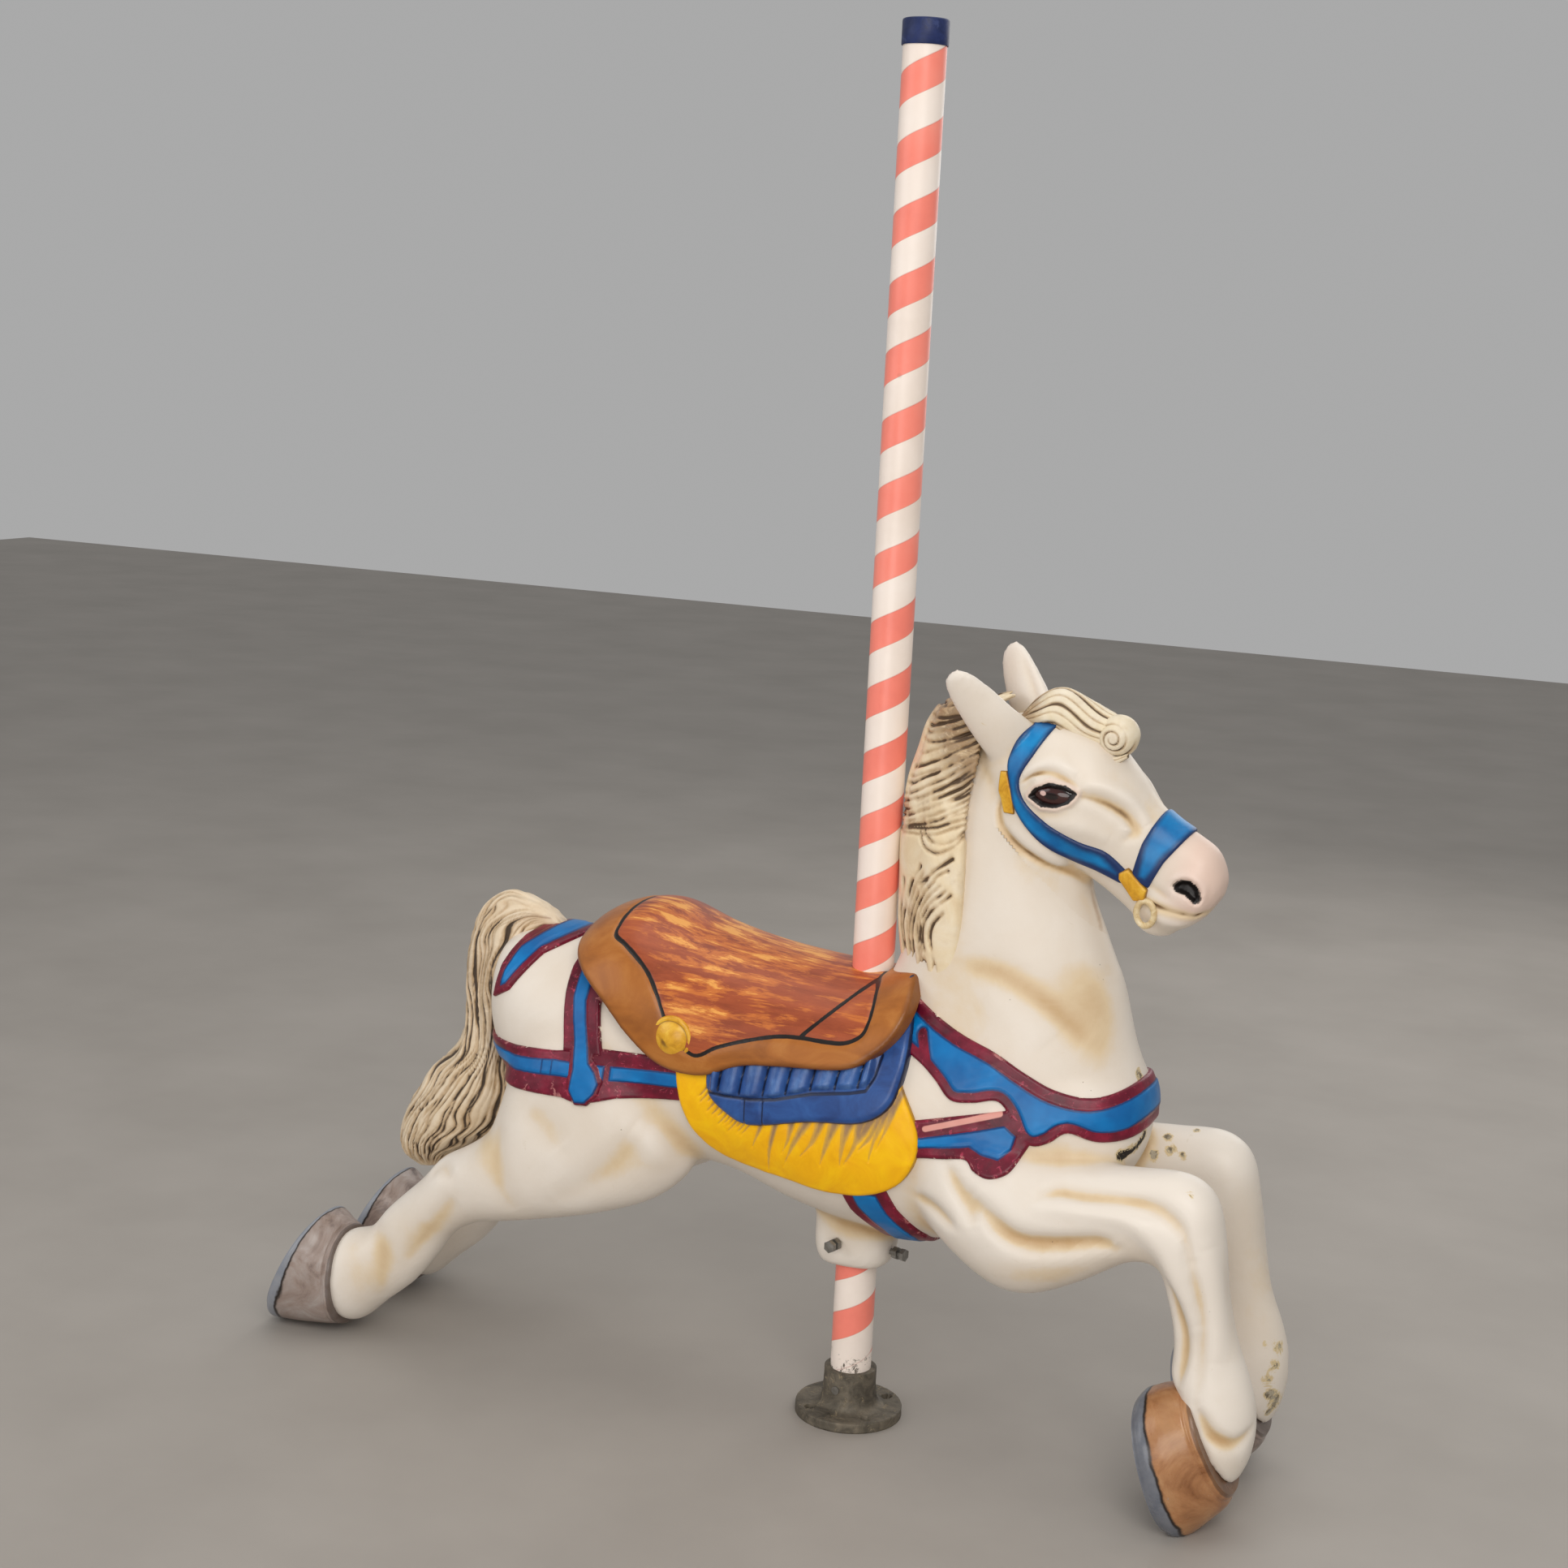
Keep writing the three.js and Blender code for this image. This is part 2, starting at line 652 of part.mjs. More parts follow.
const carousel = new THREE.Group();
carousel.name = 'carousel_horse';
carousel.add(part('horse', horse(), paint('#e9e0cc', 0.45)));
carousel.add(part('pole', pole(), paint('#f0a095', 0.4)));
carousel.add(part('pole_cap', poleCap(), paint('#1d3f86', 0.5)));
carousel.add(part('floor_flange', floorFlange(), paint('#4a4845', 0.7, 0.6)));
carousel.add(part('flange_set_screw', setScrew(), paint('#6b5a46', 0.6, 0.7)));
POLE_BOLTS.forEach((place, index) => {
  carousel.add(part(`pole_bolt_${index + 1}`, poleBolt(place), paint('#8c8c88', 0.4, 0.8)));
});

export default carousel;
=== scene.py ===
# A painted carousel horse on its striped pole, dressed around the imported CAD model.
# Lengths are written in millimetres and turned into metres as each mesh is made.
# Object frame: +X the horse's forward, +Y its left (far) side, +Z up, origin under the pole.
import math

import bpy
import numpy as np
from mathutils import Matrix, Vector


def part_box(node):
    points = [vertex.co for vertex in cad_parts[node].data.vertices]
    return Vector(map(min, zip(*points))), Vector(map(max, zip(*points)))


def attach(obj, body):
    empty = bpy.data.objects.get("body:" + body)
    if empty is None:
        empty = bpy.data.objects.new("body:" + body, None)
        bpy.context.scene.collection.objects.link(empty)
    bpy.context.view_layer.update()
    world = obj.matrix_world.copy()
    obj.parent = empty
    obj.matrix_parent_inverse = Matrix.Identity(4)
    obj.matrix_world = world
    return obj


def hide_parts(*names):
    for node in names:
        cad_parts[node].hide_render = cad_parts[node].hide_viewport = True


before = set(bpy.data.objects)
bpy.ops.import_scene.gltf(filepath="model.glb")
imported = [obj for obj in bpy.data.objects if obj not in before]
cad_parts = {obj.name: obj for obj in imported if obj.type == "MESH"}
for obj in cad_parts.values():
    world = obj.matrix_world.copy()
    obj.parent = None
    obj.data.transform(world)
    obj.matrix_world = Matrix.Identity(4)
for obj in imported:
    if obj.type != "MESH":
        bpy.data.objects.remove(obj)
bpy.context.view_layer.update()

MM = 0.001
# The grid that joins the horse's lofts into one skin.
VOXEL = 3.4
# The head is modelled straight, then tipped and turned about the poll by these degrees.
POLL = np.array([150.0, 0.0, 760.0])
HEAD_TIP = 6.0
HEAD_TURN = -5.0
# Limits that keep the mesh work away from dividing by nothing and from slivers.
TINY = 1e-12
NO_AREA = 1e-9
SHORTEST_STEP = 1e-9
SHORTEST_CUT = 0.03
FAR = 1e9
# The main view's camera: its lens in millimetres, its place in metres, and its axes.
PHOTO_LENS = 55.9
CAMERA_PLACE = (0.9540, -2.5582, 1.2541)
CAMERA_RIGHT = (0.9172, 0.3956, 0.0481)
CAMERA_DOWN = (0.1146, -0.1463, -0.9826)
CAMERA_FORWARD = (-0.3816, 0.9067, -0.1796)


# ---------------------------------------------------------------- curves and skins

def catmull(rows, t, clamped=False):
    """Points on the smooth line through rows; every stretch between two rows takes as much of t."""
    rows = np.asarray(rows, float)
    last = len(rows) - 1
    place = np.clip(np.asarray(t, float), 0, 1) * last
    i = np.minimum(place.astype(int), last - 1)
    w = (place - i)[:, None]
    before = rows[0] if clamped else 2 * rows[0] - rows[1]
    after = rows[-1] if clamped else 2 * rows[-1] - rows[-2]
    padded = np.vstack([before, rows, after])
    a, b, c, d = (padded[i + k] for k in range(4))
    return 0.5 * (2 * b + (c - a) * w + (2 * a - 5 * b + 4 * c - d) * w ** 2
                  + (3 * b - a - 3 * c + d) * w ** 3)


def smooth(points, steps=6):
    """A smooth open line through a few points."""
    return catmull(points, np.linspace(0, 1, (len(points) - 1) * steps + 1), clamped=True)


def bell(distance, width):
    """1 at no distance, and falling away smoothly over the width."""
    return np.exp(-(distance / width) ** 2)


def climb(value, low, high):
    """0 up to low, 1 from high on, and straight in between; high may be the smaller."""
    return np.clip((value - low) / (high - low), 0, 1)


def valley(phase, width):
    """1 where the sine of the phase is 0, falling to 0 where it's as large as width."""
    return climb(np.abs(np.sin(phase)), width, 0)


def ovals(*rows):
    """Sections whose two edge points lie upright along the horse. A row is x and z of the one, x and
    z of the other, half the section's width and, off the middle, its y."""
    sections = []
    for x, z, other_x, other_z, half, *y in rows:
        sections.append(([(x + other_x) / 2, sum(y), (z + other_z) / 2],
                         [(x - other_x) / 2, 0, (z - other_z) / 2], [0, half, 0]))
    return sections


class Skin:
    """Points, triangles and any number of marks, one number a point."""

    def __init__(self, points, faces, **marks):
        self.points = np.asarray(points, float)
        self.faces = np.asarray(faces, np.int64)
        self.marks = {name: np.asarray(value, float) for name, value in marks.items()}

    def remade(self, change, faces):
        """A skin with those faces, and with these points and marks put through change."""
        return Skin(change(self.points), faces, **{n: change(v) for n, v in self.marks.items()})

    def copy(self):
        return self.remade(np.copy, self.faces.copy())

    def mirrored(self):
        twin = self.copy()
        twin.points[:, 1] *= -1
        twin.faces = twin.faces[:, ::-1]
        return twin

    def normals(self):
        p, f = self.points, self.faces
        across = np.cross(p[f[:, 1]] - p[f[:, 0]], p[f[:, 2]] - p[f[:, 0]])
        total = np.zeros_like(p)
        for corner in range(3):
            for axis in range(3):
                total[:, axis] += np.bincount(f[:, corner], across[:, axis], len(p))
        return total / (np.linalg.norm(total, axis=1)[:, None] + TINY)

    def sides(self):
        """The three sides of every triangle, as pairs of points in the triangle's order."""
        f = self.faces
        return np.vstack([f[:, [0, 1]], f[:, [1, 2]], f[:, [2, 0]]])

    def edges(self):
        return np.unique(np.sort(self.sides(), axis=1), axis=0)

    def rim(self):
        """The sides that only one triangle has."""
        sides = self.sides()
        _, first, counts = np.unique(np.sort(sides, axis=1), axis=0, return_index=True,
                                     return_counts=True)
        return sides[first[counts == 1]]

    def averaged(self, values, times, share=0.6, mask=None):
        """Values at the points, each drawn towards its neighbours' mean."""
        edges = self.edges()
        one = edges.T.ravel()
        two = edges[:, ::-1].T.ravel()
        count = np.maximum(np.bincount(one, minlength=len(self.points)), 1)
        values = np.array(values, float).reshape(len(self.points), -1)
        pull = share if mask is None else share * mask[:, None]
        for _ in range(times):
            mean = np.stack([np.bincount(one, column[two], len(count)) / count
                             for column in values.T], axis=1)
            values = values + (mean - values) * pull
        return values

    def relax(self, times, share=0.6, mask=None):
        self.points = self.averaged(self.points, times, share, mask)
        return self

    def push(self, height):
        """Moves every point out along its normal by its own height."""
        self.points += self.normals() * height[:, None]
        return self

    def part(self, keep):
        """The triangles that keep says, with only their points."""
        used, index = np.unique(self.faces[keep], return_inverse=True)
        return self.remade(lambda v: v[used], index.reshape(-1, 3))

    def halved(self):
        """Each triangle in four."""
        a, b, c = self.faces.T
        ends, index = np.unique(np.sort(self.sides(), axis=1), axis=0, return_inverse=True)
        ab, bc, ca = index.reshape(3, -1) + len(self.points)
        faces = np.vstack([np.stack(corners, 1) for corners in
                           ((a, ab, ca), (ab, b, bc), (ca, bc, c), (ab, bc, ca))])
        return self.remade(lambda v: np.concatenate([v, (v[ends[:, 0]] + v[ends[:, 1]]) / 2]), faces)

    def split(self, field, level):
        """Cuts the triangles along the line where field passes level. Returns skin and field."""
        f, n = self.faces, len(self.points)
        s = field - level
        side = s > 0
        count = side[f].sum(1)
        cut = (count == 1) | (count == 2)
        g = f[cut]
        if not len(g):
            return self, field
        flags = side[g]
        lone = np.where(flags.sum(1) == 1, flags.argmax(1), (~flags).argmax(1))
        a, b, c = (g[np.arange(len(g)), (lone + k) % 3] for k in range(3))
        pairs = np.sort(np.vstack([np.stack([a, b], 1), np.stack([a, c], 1)]), axis=1)
        unique, index = np.unique(pairs, axis=0, return_inverse=True)
        ab, ac = n + index.reshape(2, -1)
        lo, hi = unique.T
        w = np.clip(s[lo] / (s[lo] - s[hi]), SHORTEST_CUT, 1 - SHORTEST_CUT)

        def longer(v):
            share = w[:, None] if v.ndim > 1 else w
            return np.concatenate([v, v[lo] + (v[hi] - v[lo]) * share])

        faces = np.vstack([f[~cut], np.stack([a, ab, ac], 1),
                           np.stack([ab, b, c], 1), np.stack([ab, c, ac], 1)])
        field = longer(field)
        field[n:] = level
        return self.remade(longer, faces), field


def signed_power(value, power):
    return np.sign(value) * np.abs(value) ** power


def angles(count):
    """As many equal steps round a circle, in radians."""
    return np.arange(count) / count * 2 * math.pi


def grid_faces(rows, sides, slant=False):
    """Triangles between rows of points that are closed rings; slant cuts each four the other way."""
    ring, side = np.meshgrid(np.arange(rows - 1), np.arange(sides), indexing="ij")
    a = (ring * sides + side).ravel()
    b = (ring * sides + (side + 1) % sides).ravel()
    c, d = a + sides, b + sides
    cut = ((a, b, d), (a, d, c)) if slant else ((a, b, c), (b, d, c))
    return np.vstack([np.stack(corners, 1) for corners in cut])


def capped_faces(rows, sides):
    """The same, with the ends closed onto the two points that follow the rows."""
    low = np.arange(sides)
    after = (low + 1) % sides
    top, first = (rows - 1) * sides, rows * sides
    return np.vstack([grid_faces(rows, sides), np.stack([np.full(sides, first), after, low], 1),
                      np.stack([np.full(sides, first + 1), top + low, top + after], 1)])


def loft(sections, rings, sides, square=2.0, flutes=0, depth=0.0, twist=0.0):
    """A closed skin through oval sections, with the marks along (0 to 1) and around (radians)."""
    t = np.linspace(0, 1, rings + 1)
    centre, long, wide = (catmull([s[k] for s in sections], t) for k in range(3))
    angle = angles(sides)
    groove = depth * np.sin(math.pi * np.minimum(1, t * 1.2 + 0.1)) / np.linalg.norm(long, axis=1)
    wave = 1 - groove[:, None] * (0.5 - 0.5 * np.cos(flutes * angle[None] + twist * t[:, None]))
    one = signed_power(np.cos(angle), 2 / square)[None] * wave
    two = signed_power(np.sin(angle), 2 / square)[None] * wave
    points = centre[:, None] + long[:, None] * one[..., None] + wide[:, None] * two[..., None]
    points = np.vstack([points.reshape(-1, 3), centre[0], centre[-1]])
    along = np.concatenate([np.repeat(t, sides), [0, 1]])
    around = np.concatenate([np.tile(angle, rings + 1), [0, 0]])
    return facing_out(Skin(points, capped_faces(rings + 1, sides), along=along, around=around))


def facing_out(skin):
    p = skin.points[skin.faces]
    if (p[:, 0] * np.cross(p[:, 1], p[:, 2])).sum() < 0:
        skin.faces = skin.faces[:, ::-1]
    return skin


def ball(centre, radii, turn=0.0, rings=24, sides=32):
    """An ellipsoid, turned about Y by turn radians."""
    up = np.linspace(-math.pi / 2, math.pi / 2, rings + 1)[1:-1]
    x, y = (np.cos(up)[:, None] * way(angles(sides))[None] for way in (np.cos, np.sin))
    z = np.repeat(np.sin(up)[:, None], sides, 1)
    points = np.vstack([np.stack([x, y, z], -1).reshape(-1, 3), [0, 0, -1], [0, 0, 1]])
    c, s = math.cos(turn), math.sin(turn)
    points = points * np.asarray(radii) @ np.array([[c, 0, s], [0, 1, 0], [-s, 0, c]]).T
    return facing_out(Skin(points + np.asarray(centre), capped_faces(len(up), sides)))


def lathe(profile, sides=96):
    """A closed skin turned about the Z axis from [radius, z] pairs; its ends lie on the axis."""
    radius, z = np.asarray(profile, float).T
    angle = angles(sides)
    points = np.stack([radius[:, None] * np.cos(angle), radius[:, None] * np.sin(angle),
                       np.repeat(z[:, None], sides, 1)], -1).reshape(-1, 3)
    faces = grid_faces(len(z), sides, slant=True)
    p = points[faces]
    area = np.linalg.norm(np.cross(p[:, 1] - p[:, 0], p[:, 2] - p[:, 0]), axis=1)
    return facing_out(Skin(points, faces[area > NO_AREA]))


def blended(skins, size):
    """One closed skin round several that overlap, on a voxel grid of that size."""
    starts = np.cumsum([0] + [len(s.points) for s in skins])
    points = np.vstack([s.points for s in skins]) * MM
    faces = np.vstack([s.faces + start for s, start in zip(skins, starts)])
    mesh = bpy.data.meshes.new("blend")
    mesh.from_pydata(points.tolist(), [], faces.tolist())
    piece = bpy.data.objects.new("blend", mesh)
    bpy.context.scene.collection.objects.link(piece)
    remesh = piece.modifiers.new("remesh", "REMESH")
    remesh.mode = "VOXEL"
    remesh.voxel_size = size * MM
    remesh.adaptivity = 0
    done = piece.evaluated_get(bpy.context.evaluated_depsgraph_get()).to_mesh()
    done.calc_loop_triangles()
    points = np.zeros(len(done.vertices) * 3)
    done.vertices.foreach_get("co", points)
    faces = np.zeros(len(done.loop_triangles) * 3, np.int32)
    done.loop_triangles.foreach_get("vertices", faces)
    piece.to_mesh_clear()
    bpy.data.objects.remove(piece)
    bpy.data.meshes.remove(mesh)
    return facing_out(Skin(points.reshape(-1, 3) / MM, faces.reshape(-1, 3)))


# ---------------------------------------------------------------- fields and strokes

def folded(points):
    """Points of the far side laid on the near side."""
    points = np.array(points, float)
    points[:, 1] = -np.abs(points[:, 1])
    return points


def to_segment(points, a, b):
    """The distance from each point to the segment from a to b, and the nearest place's share of it."""
    step = b - a
    t = np.clip(((points - a) @ step) / max(step @ step, SHORTEST_STEP), 0, 1)
    return np.linalg.norm(points - a - t[:, None] * step, axis=1), t


def line_distance(points, line):
    """The distance from each point to an open line, in as many axes as the line has."""
    line = np.asarray(line, float)
    return np.min([to_segment(points, a, b)[0] for a, b in zip(line[:-1], line[1:])], axis=0)


def outline_depth(points, outline, reach=60.0):
    """How far inside a closed side outline of [x, z] points each point lies; less than 0 outside."""
    outline = np.asarray(outline, float)
    flat = points[:, [0, 2]]
    near = ((flat > outline.min(0) - reach) & (flat < outline.max(0) + reach)).all(1)
    depth = np.full(len(points), -reach)
    p = flat[near]
    best = line_distance(p, np.vstack([outline, outline[:1]]))
    inside = np.zeros(len(p), bool)
    for a, b in zip(outline, np.roll(outline, -1, axis=0)):
        crosses = (a[1] > p[:, 1]) != (b[1] > p[:, 1])
        at = a[0] + (p[:, 1] - a[1]) * (b[0] - a[0]) / (b[1] - a[1] + TINY)
        inside ^= crosses & (p[:, 0] < at)
    depth[near] = np.where(inside, best, -best)
    return depth


def strokes(points, lines, margin=3.0):
    """The sum of soft strokes at the points, thinner at their ends; a line is (points, width, height)."""
    total = np.zeros(len(points))
    for line, width, height in lines:
        line = smooth(line, 5)
        reach = width * margin
        near = ((points > line.min(0) - reach) & (points < line.max(0) + reach)).all(1)
        best = np.full(near.sum(), FAR)
        share = np.zeros(near.sum())
        for i, (a, b) in enumerate(zip(line[:-1], line[1:])):
            away, t = to_segment(points[near], a, b)
            share = np.where(away < best, (i + t) / (len(line) - 1), share)
            best = np.minimum(best, away)
        taper = np.sin(math.pi * np.clip(share, 0.03, 0.97)) ** 0.6
        total[near] += height * taper * bell(best, width * (0.5 + 0.5 * taper))
    return total


def turned_head(points, back=False):
    """Head points as modelled straight, tipped and turned about the poll; or back again."""
    tip, turn = math.radians(HEAD_TIP), math.radians(HEAD_TURN)
    about_x = np.array([[1, 0, 0], [0, math.cos(tip), -math.sin(tip)],
                        [0, math.sin(tip), math.cos(tip)]])
    about_z = np.array([[math.cos(turn), -math.sin(turn), 0],
                        [math.sin(turn), math.cos(turn), 0], [0, 0, 1]])
    both = about_x @ about_z
    points = np.atleast_2d(np.asarray(points, float)) - POLL
    return (points @ both if back else points @ both.T) + POLL


def straight_head(points):
    """Places measured on the finished head, as they lie on the straight head."""
    return turned_head(points, back=True)


def wobble(points, size, seed):
    """Smooth seeded noise, about -1 to 1, that changes over size millimetres."""
    rng = np.random.default_rng(seed)
    total = np.zeros(len(points))
    for octave in range(3):
        for _ in range(5):
            way = rng.normal(size=points.shape[1])
            way /= np.linalg.norm(way)
            rate = 2 * math.pi / size * 1.7 ** octave * rng.uniform(0.6, 1.2)
            total += np.sin(points @ way * rate + rng.uniform(0, 6.28)) / 1.7 ** octave
    return total / 5


# ---------------------------------------------------------------- the horse's skin

TORSO = ovals(
    (-476, 505, -476, 445, 24), (-463, 526, -466, 392, 68), (-425, 538, -430, 345, 100),
    (-370, 538, -370, 312, 118), (-300, 540, -295, 292, 124), (-220, 540, -215, 290, 120),
    (-140, 534, -140, 283, 118), (-60, 526, -65, 260, 123), (20, 524, 15, 246, 126),
    (90, 540, 90, 243, 121), (150, 540, 165, 258, 112), (215, 520, 235, 285, 102),
    (285, 500, 295, 325, 84), (325, 475, 328, 372, 56), (338, 445, 338, 405, 22))
NECK = ovals(
    (-10, 500, 318, 378, 92), (22, 542, 338, 440, 88), (40, 590, 316, 505, 77), (46, 640, 298, 570, 69),
    (50, 700, 276, 625, 63), (58, 760, 256, 668, 58), (78, 815, 244, 715, 54), (118, 850, 222, 770, 44))
THIGH = ovals(
    (-300, 500, -180, 330, 44, -70), (-370, 470, -185, 290, 64, -72), (-412, 410, -225, 250, 68, -76),
    (-430, 345, -290, 222, 66, -80), (-446, 300, -360, 202, 58, -83), (-480, 272, -420, 187, 48, -85),
    (-514, 252, -458, 178, 42, -85), (-535, 226, -495, 156, 39, -85), (-566, 196, -522, 118, 36, -85),
    (-593, 169, -552, 80, 37, -85), (-611, 144, -592, 46, 42, -85), (-632, 136, -624, 17, 47, -85),
    (-655, 130, -652, 14, 48, -85))
FORELEG = ovals(
    (90, 430, 100, 300, 40, -70), (150, 420, 135, 268, 58, -74), (200, 405, 190, 233, 62, -78),
    (245, 392, 238, 228, 58, -82), (300, 390, 296, 254, 50, -84), (355, 394, 350, 288, 43, -84),
    (405, 397, 380, 288, 41, -84), (438, 375, 388, 274, 42, -84), (452, 325, 393, 256, 38, -84),
    (460, 270, 400, 230, 33, -84), (474, 218, 404, 200, 32, -84), (491, 176, 402, 172, 36, -84),
    (500, 136, 410, 158, 40, -84), (497, 92, 418, 150, 42, -84), (482, 56, 424, 146, 44, -84))
HIND_HOOF = ovals(
    (-646, 134, -644, 10, 52, -85), (-660, 140, -668, 6, 57, -85), (-676, 151, -736, 1, 66, -85),
    (-682, 147, -746, 12, 64, -85))
FORE_HOOF = ovals(
    (484, 52, 428, 160, 50, -84), (474, 30, 408, 158, 56, -84), (438, -8, 378, 144, 64, -84),
    (420, -6, 368, 132, 62, -84))
HEAD = ovals(
    (112, 846, 136, 770, 34), (160, 862, 160, 738, 54), (215, 864, 196, 716, 64),
    (262, 848, 232, 703, 61), (297, 817, 260, 688, 50), (322, 785, 284, 672, 42),
    (347, 766, 302, 658, 38), (372, 753, 318, 644, 38), (394, 738, 340, 640, 39),
    (405, 712, 367, 650, 33), (404, 692, 386, 664, 16))
EAR = [
    ([171, -34, 832], [14, 6, 30], [9, -15, 2]),
    ([153, -50, 857], [16, 3, 25], [9, -12, 1]),
    ([134, -63, 884], [15, 2, 20], [7, -10, 1]),
    ([120, -74, 904], [12, 1, 15], [6, -7, 1]),
    ([111, -82, 917], [7, 0, 8], [4, -4, 0]),
]
BOSS = ovals(
    (-47, 300, 49, 300, 42), (-49, 240, 48, 240, 40), (-49, 206, 46, 206, 38), (-41, 187, 38, 189, 33))
TAIL = ovals(
    (-440, 566, -400, 540, 14), (-478, 574, -420, 532, 24), (-514, 550, -430, 512, 33),
    (-531, 508, -437, 486, 40), (-535, 455, -441, 448, 45), (-533, 408, -440, 404, 49),
    (-545, 370, -437, 356, 52), (-578, 336, -437, 312, 54), (-606, 292, -470, 272, 51),
    (-622, 250, -508, 248, 43), (-620, 218, -546, 228, 29), (-600, 202, -570, 206, 10))
SEAT = ovals(
    (-352, 536, -352, 400, 84), (-345, 560, -345, 380, 108), (-312, 582, -312, 370, 126),
    (-262, 591, -262, 360, 134), (-195, 571, -195, 340, 134), (-125, 557, -125, 330, 136),
    (-40, 549, -40, 320, 140), (20, 549, 20, 320, 140), (60, 564, 60, 320, 137), (84, 574, 84, 330, 132))
FORELOCK = ovals(
    (150, 846, 176, 872, 26), (184, 886, 190, 846, 30), (214, 899, 208, 842, 29),
    (250, 884, 232, 838, 25), (274, 874, 260, 834, 20))
# The mane's fall beside the neck: x and z of its root line, its spread, thickness and tilt.
MANE = [
    (126, 878, 20, 12, 4), (84, 869, 44, 22, 2), (64, 842, 53, 23, -2), (54, 804, 57, 24, -6),
    (44, 760, 60, 26, -10), (40, 700, 64, 27, -14), (42, 640, 62, 27, -18), (44, 585, 56, 24, -20),
    (50, 540, 40, 18, -16), (62, 508, 16, 8, -8),
]


# Shares of a lock's spread: how far its middle is forward and out, its half length forward and out;
# and shares of its thickness: its half thickness forward and out.
FALL = {"forward": 0.55, "out": 0.42, "long": 0.75, "wide": 0.62, "thick": (0.64, 0.77)}


def mane_sections(reach):
    """The fall's sections; reach is how much of its spread they take."""
    sections = []
    for x, z, spread, thick, tilt in MANE:
        spread *= reach
        sections.append(([x + spread * FALL["forward"], -spread * FALL["out"], z],
                         [spread * FALL["long"], -spread * FALL["wide"], tilt],
                         [thick * FALL["thick"][0], thick * FALL["thick"][1], 0]))
    return sections


# Muscle and tendon strokes on the near side: line, half width, and height out of the skin.
MUSCLES = [
    ([(256, -129, 358), (278, -123, 363), (309, -123, 363), (355, -122, 367), (386, -121, 362),
      (411, -123, 344), (424, -122, 315)], 9, -5.0),
    ([(258, -132, 345), (303, -127, 352), (349, -124, 350), (381, -123, 331), (402, -121, 302),
      (420, -118, 267), (433, -116, 238)], 11, 4.0),
    ([(180, -134, 346), (197, -138, 330), (223, -140, 311), (247, -138, 305), (285, -134, 309),
      (322, -128, 317), (340, -124, 313)], 10, -6.0),
    ([(147, -126, 373), (161, -131, 353), (176, -136, 333), (186, -137, 311)], 9, -4.0),
    ([(110, -111, 325), (136, -125, 318), (163, -130, 304)], 8, -3.5),
    ([(400, -113, 284), (407, -113, 263), (418, -112, 225), (420, -110, 193), (418, -107, 163)],
     7, -3.5),
    ([(436, -112, 330), (446, -110, 290), (452, -108, 246), (456, -108, 200)], 12, 3.0),
    ([(416, -123, 332), (428, -120, 293), (440, -114, 246), (442, -116, 200), (440, -120, 161)],
     6, -2.0),
    ([(441, -120, 153), (459, -125, 127), (484, -114, 118), (497, -93, 132)], 7, -3.5),
    ([(-372, -136, 352), (-345, -142, 335), (-322, -144, 312)], 18, -2.0),
    ([(-240, -128, 345), (-215, -126, 330), (-190, -122, 300)], 14, 2.4),
    ([(-222, -125, 350), (-251, -130, 308), (-285, -133, 276), (-335, -132, 244)], 17, -2.6),
    ([(-417, -126, 326), (-411, -138, 268), (-386, -135, 216)], 17, -2.0),
    ([(-516, -111, 231), (-503, -109, 246), (-479, -125, 242)], 9, -2.0),
    ([(-600, -106, 158), (-577, -123, 119), (-584, -107, 56)], 15, -2.0),
    ([(-470, -128, 222), (-510, -118, 167), (-548, -114, 116)], 13, -2.2),
    ([(-147, -118, 312), (-164, -120, 292), (-190, -112, 265)], 9, -3.0),
    ([(136, -68, 582), (175, -70, 583), (218, -69, 563), (252, -60, 535), (276, -50, 512)], 16, -1.6),
    ([(160, -74, 555), (205, -74, 540), (235, -66, 510)], 20, 1.2),
    ([(250, -24, 680), (274, -18, 628), (290, -18, 580)], 14, -1.6),
]
# Where the cream goes warmer and darker, partly glaze and partly painted shade under the belly, elbows and
# neck: centre lines on the near side, half width and weight.
WARM = [
    ([(262, -60, 610), (284, -58, 550), (300, -54, 480)], 44, 0.9),
    ([(130, -68, 590), (190, -72, 575), (250, -62, 535)], 16, 0.45),
    ([(70, -66, 700), (100, -72, 620), (118, -76, 560), (180, -72, 520)], 34, 0.35),
    ([(412, -112, 300), (420, -108, 230), (416, -105, 160)], 20, 0.45),
    ([(440, -84, 380), (470, -84, 250), (495, -84, 120)], 36, 0.22),
    ([(442, -121, 150), (466, -122, 104), (488, -102, 74)], 26, 0.6),
    ([(200, -124, 256), (247, -130, 270), (290, -124, 278), (350, -120, 312)], 24, 0.6),
    ([(-150, -100, 300), (-230, -110, 300), (-300, -110, 240)], 30, 0.35),
    ([(-470, -110, 200), (-540, -112, 140), (-606, -114, 60)], 34, 0.45),
    ([(-626, -106, 128), (-612, -120, 90), (-606, -112, 50)], 18, 0.4),
    ([(-440, -120, 310), (-420, -110, 240)], 26, 0.35),
    ([(-120, -40, 286), (0, -40, 250), (120, -40, 250)], 46, 0.35),
    ([(-300, -100, 500), (-400, -80, 520)], 30, 0.25),
]
FAR_LEG_WARM = [([(390, 56, 382), (425, 56, 361), (438, 53, 314), (446, 55, 253), (463, 55, 193),
                  (482, 58, 154)], 34, 0.55)]
CHEST_CRACK = [(321, -57, 393), (326, -44, 398), (331, -30, 400), (334, -16, 410)]
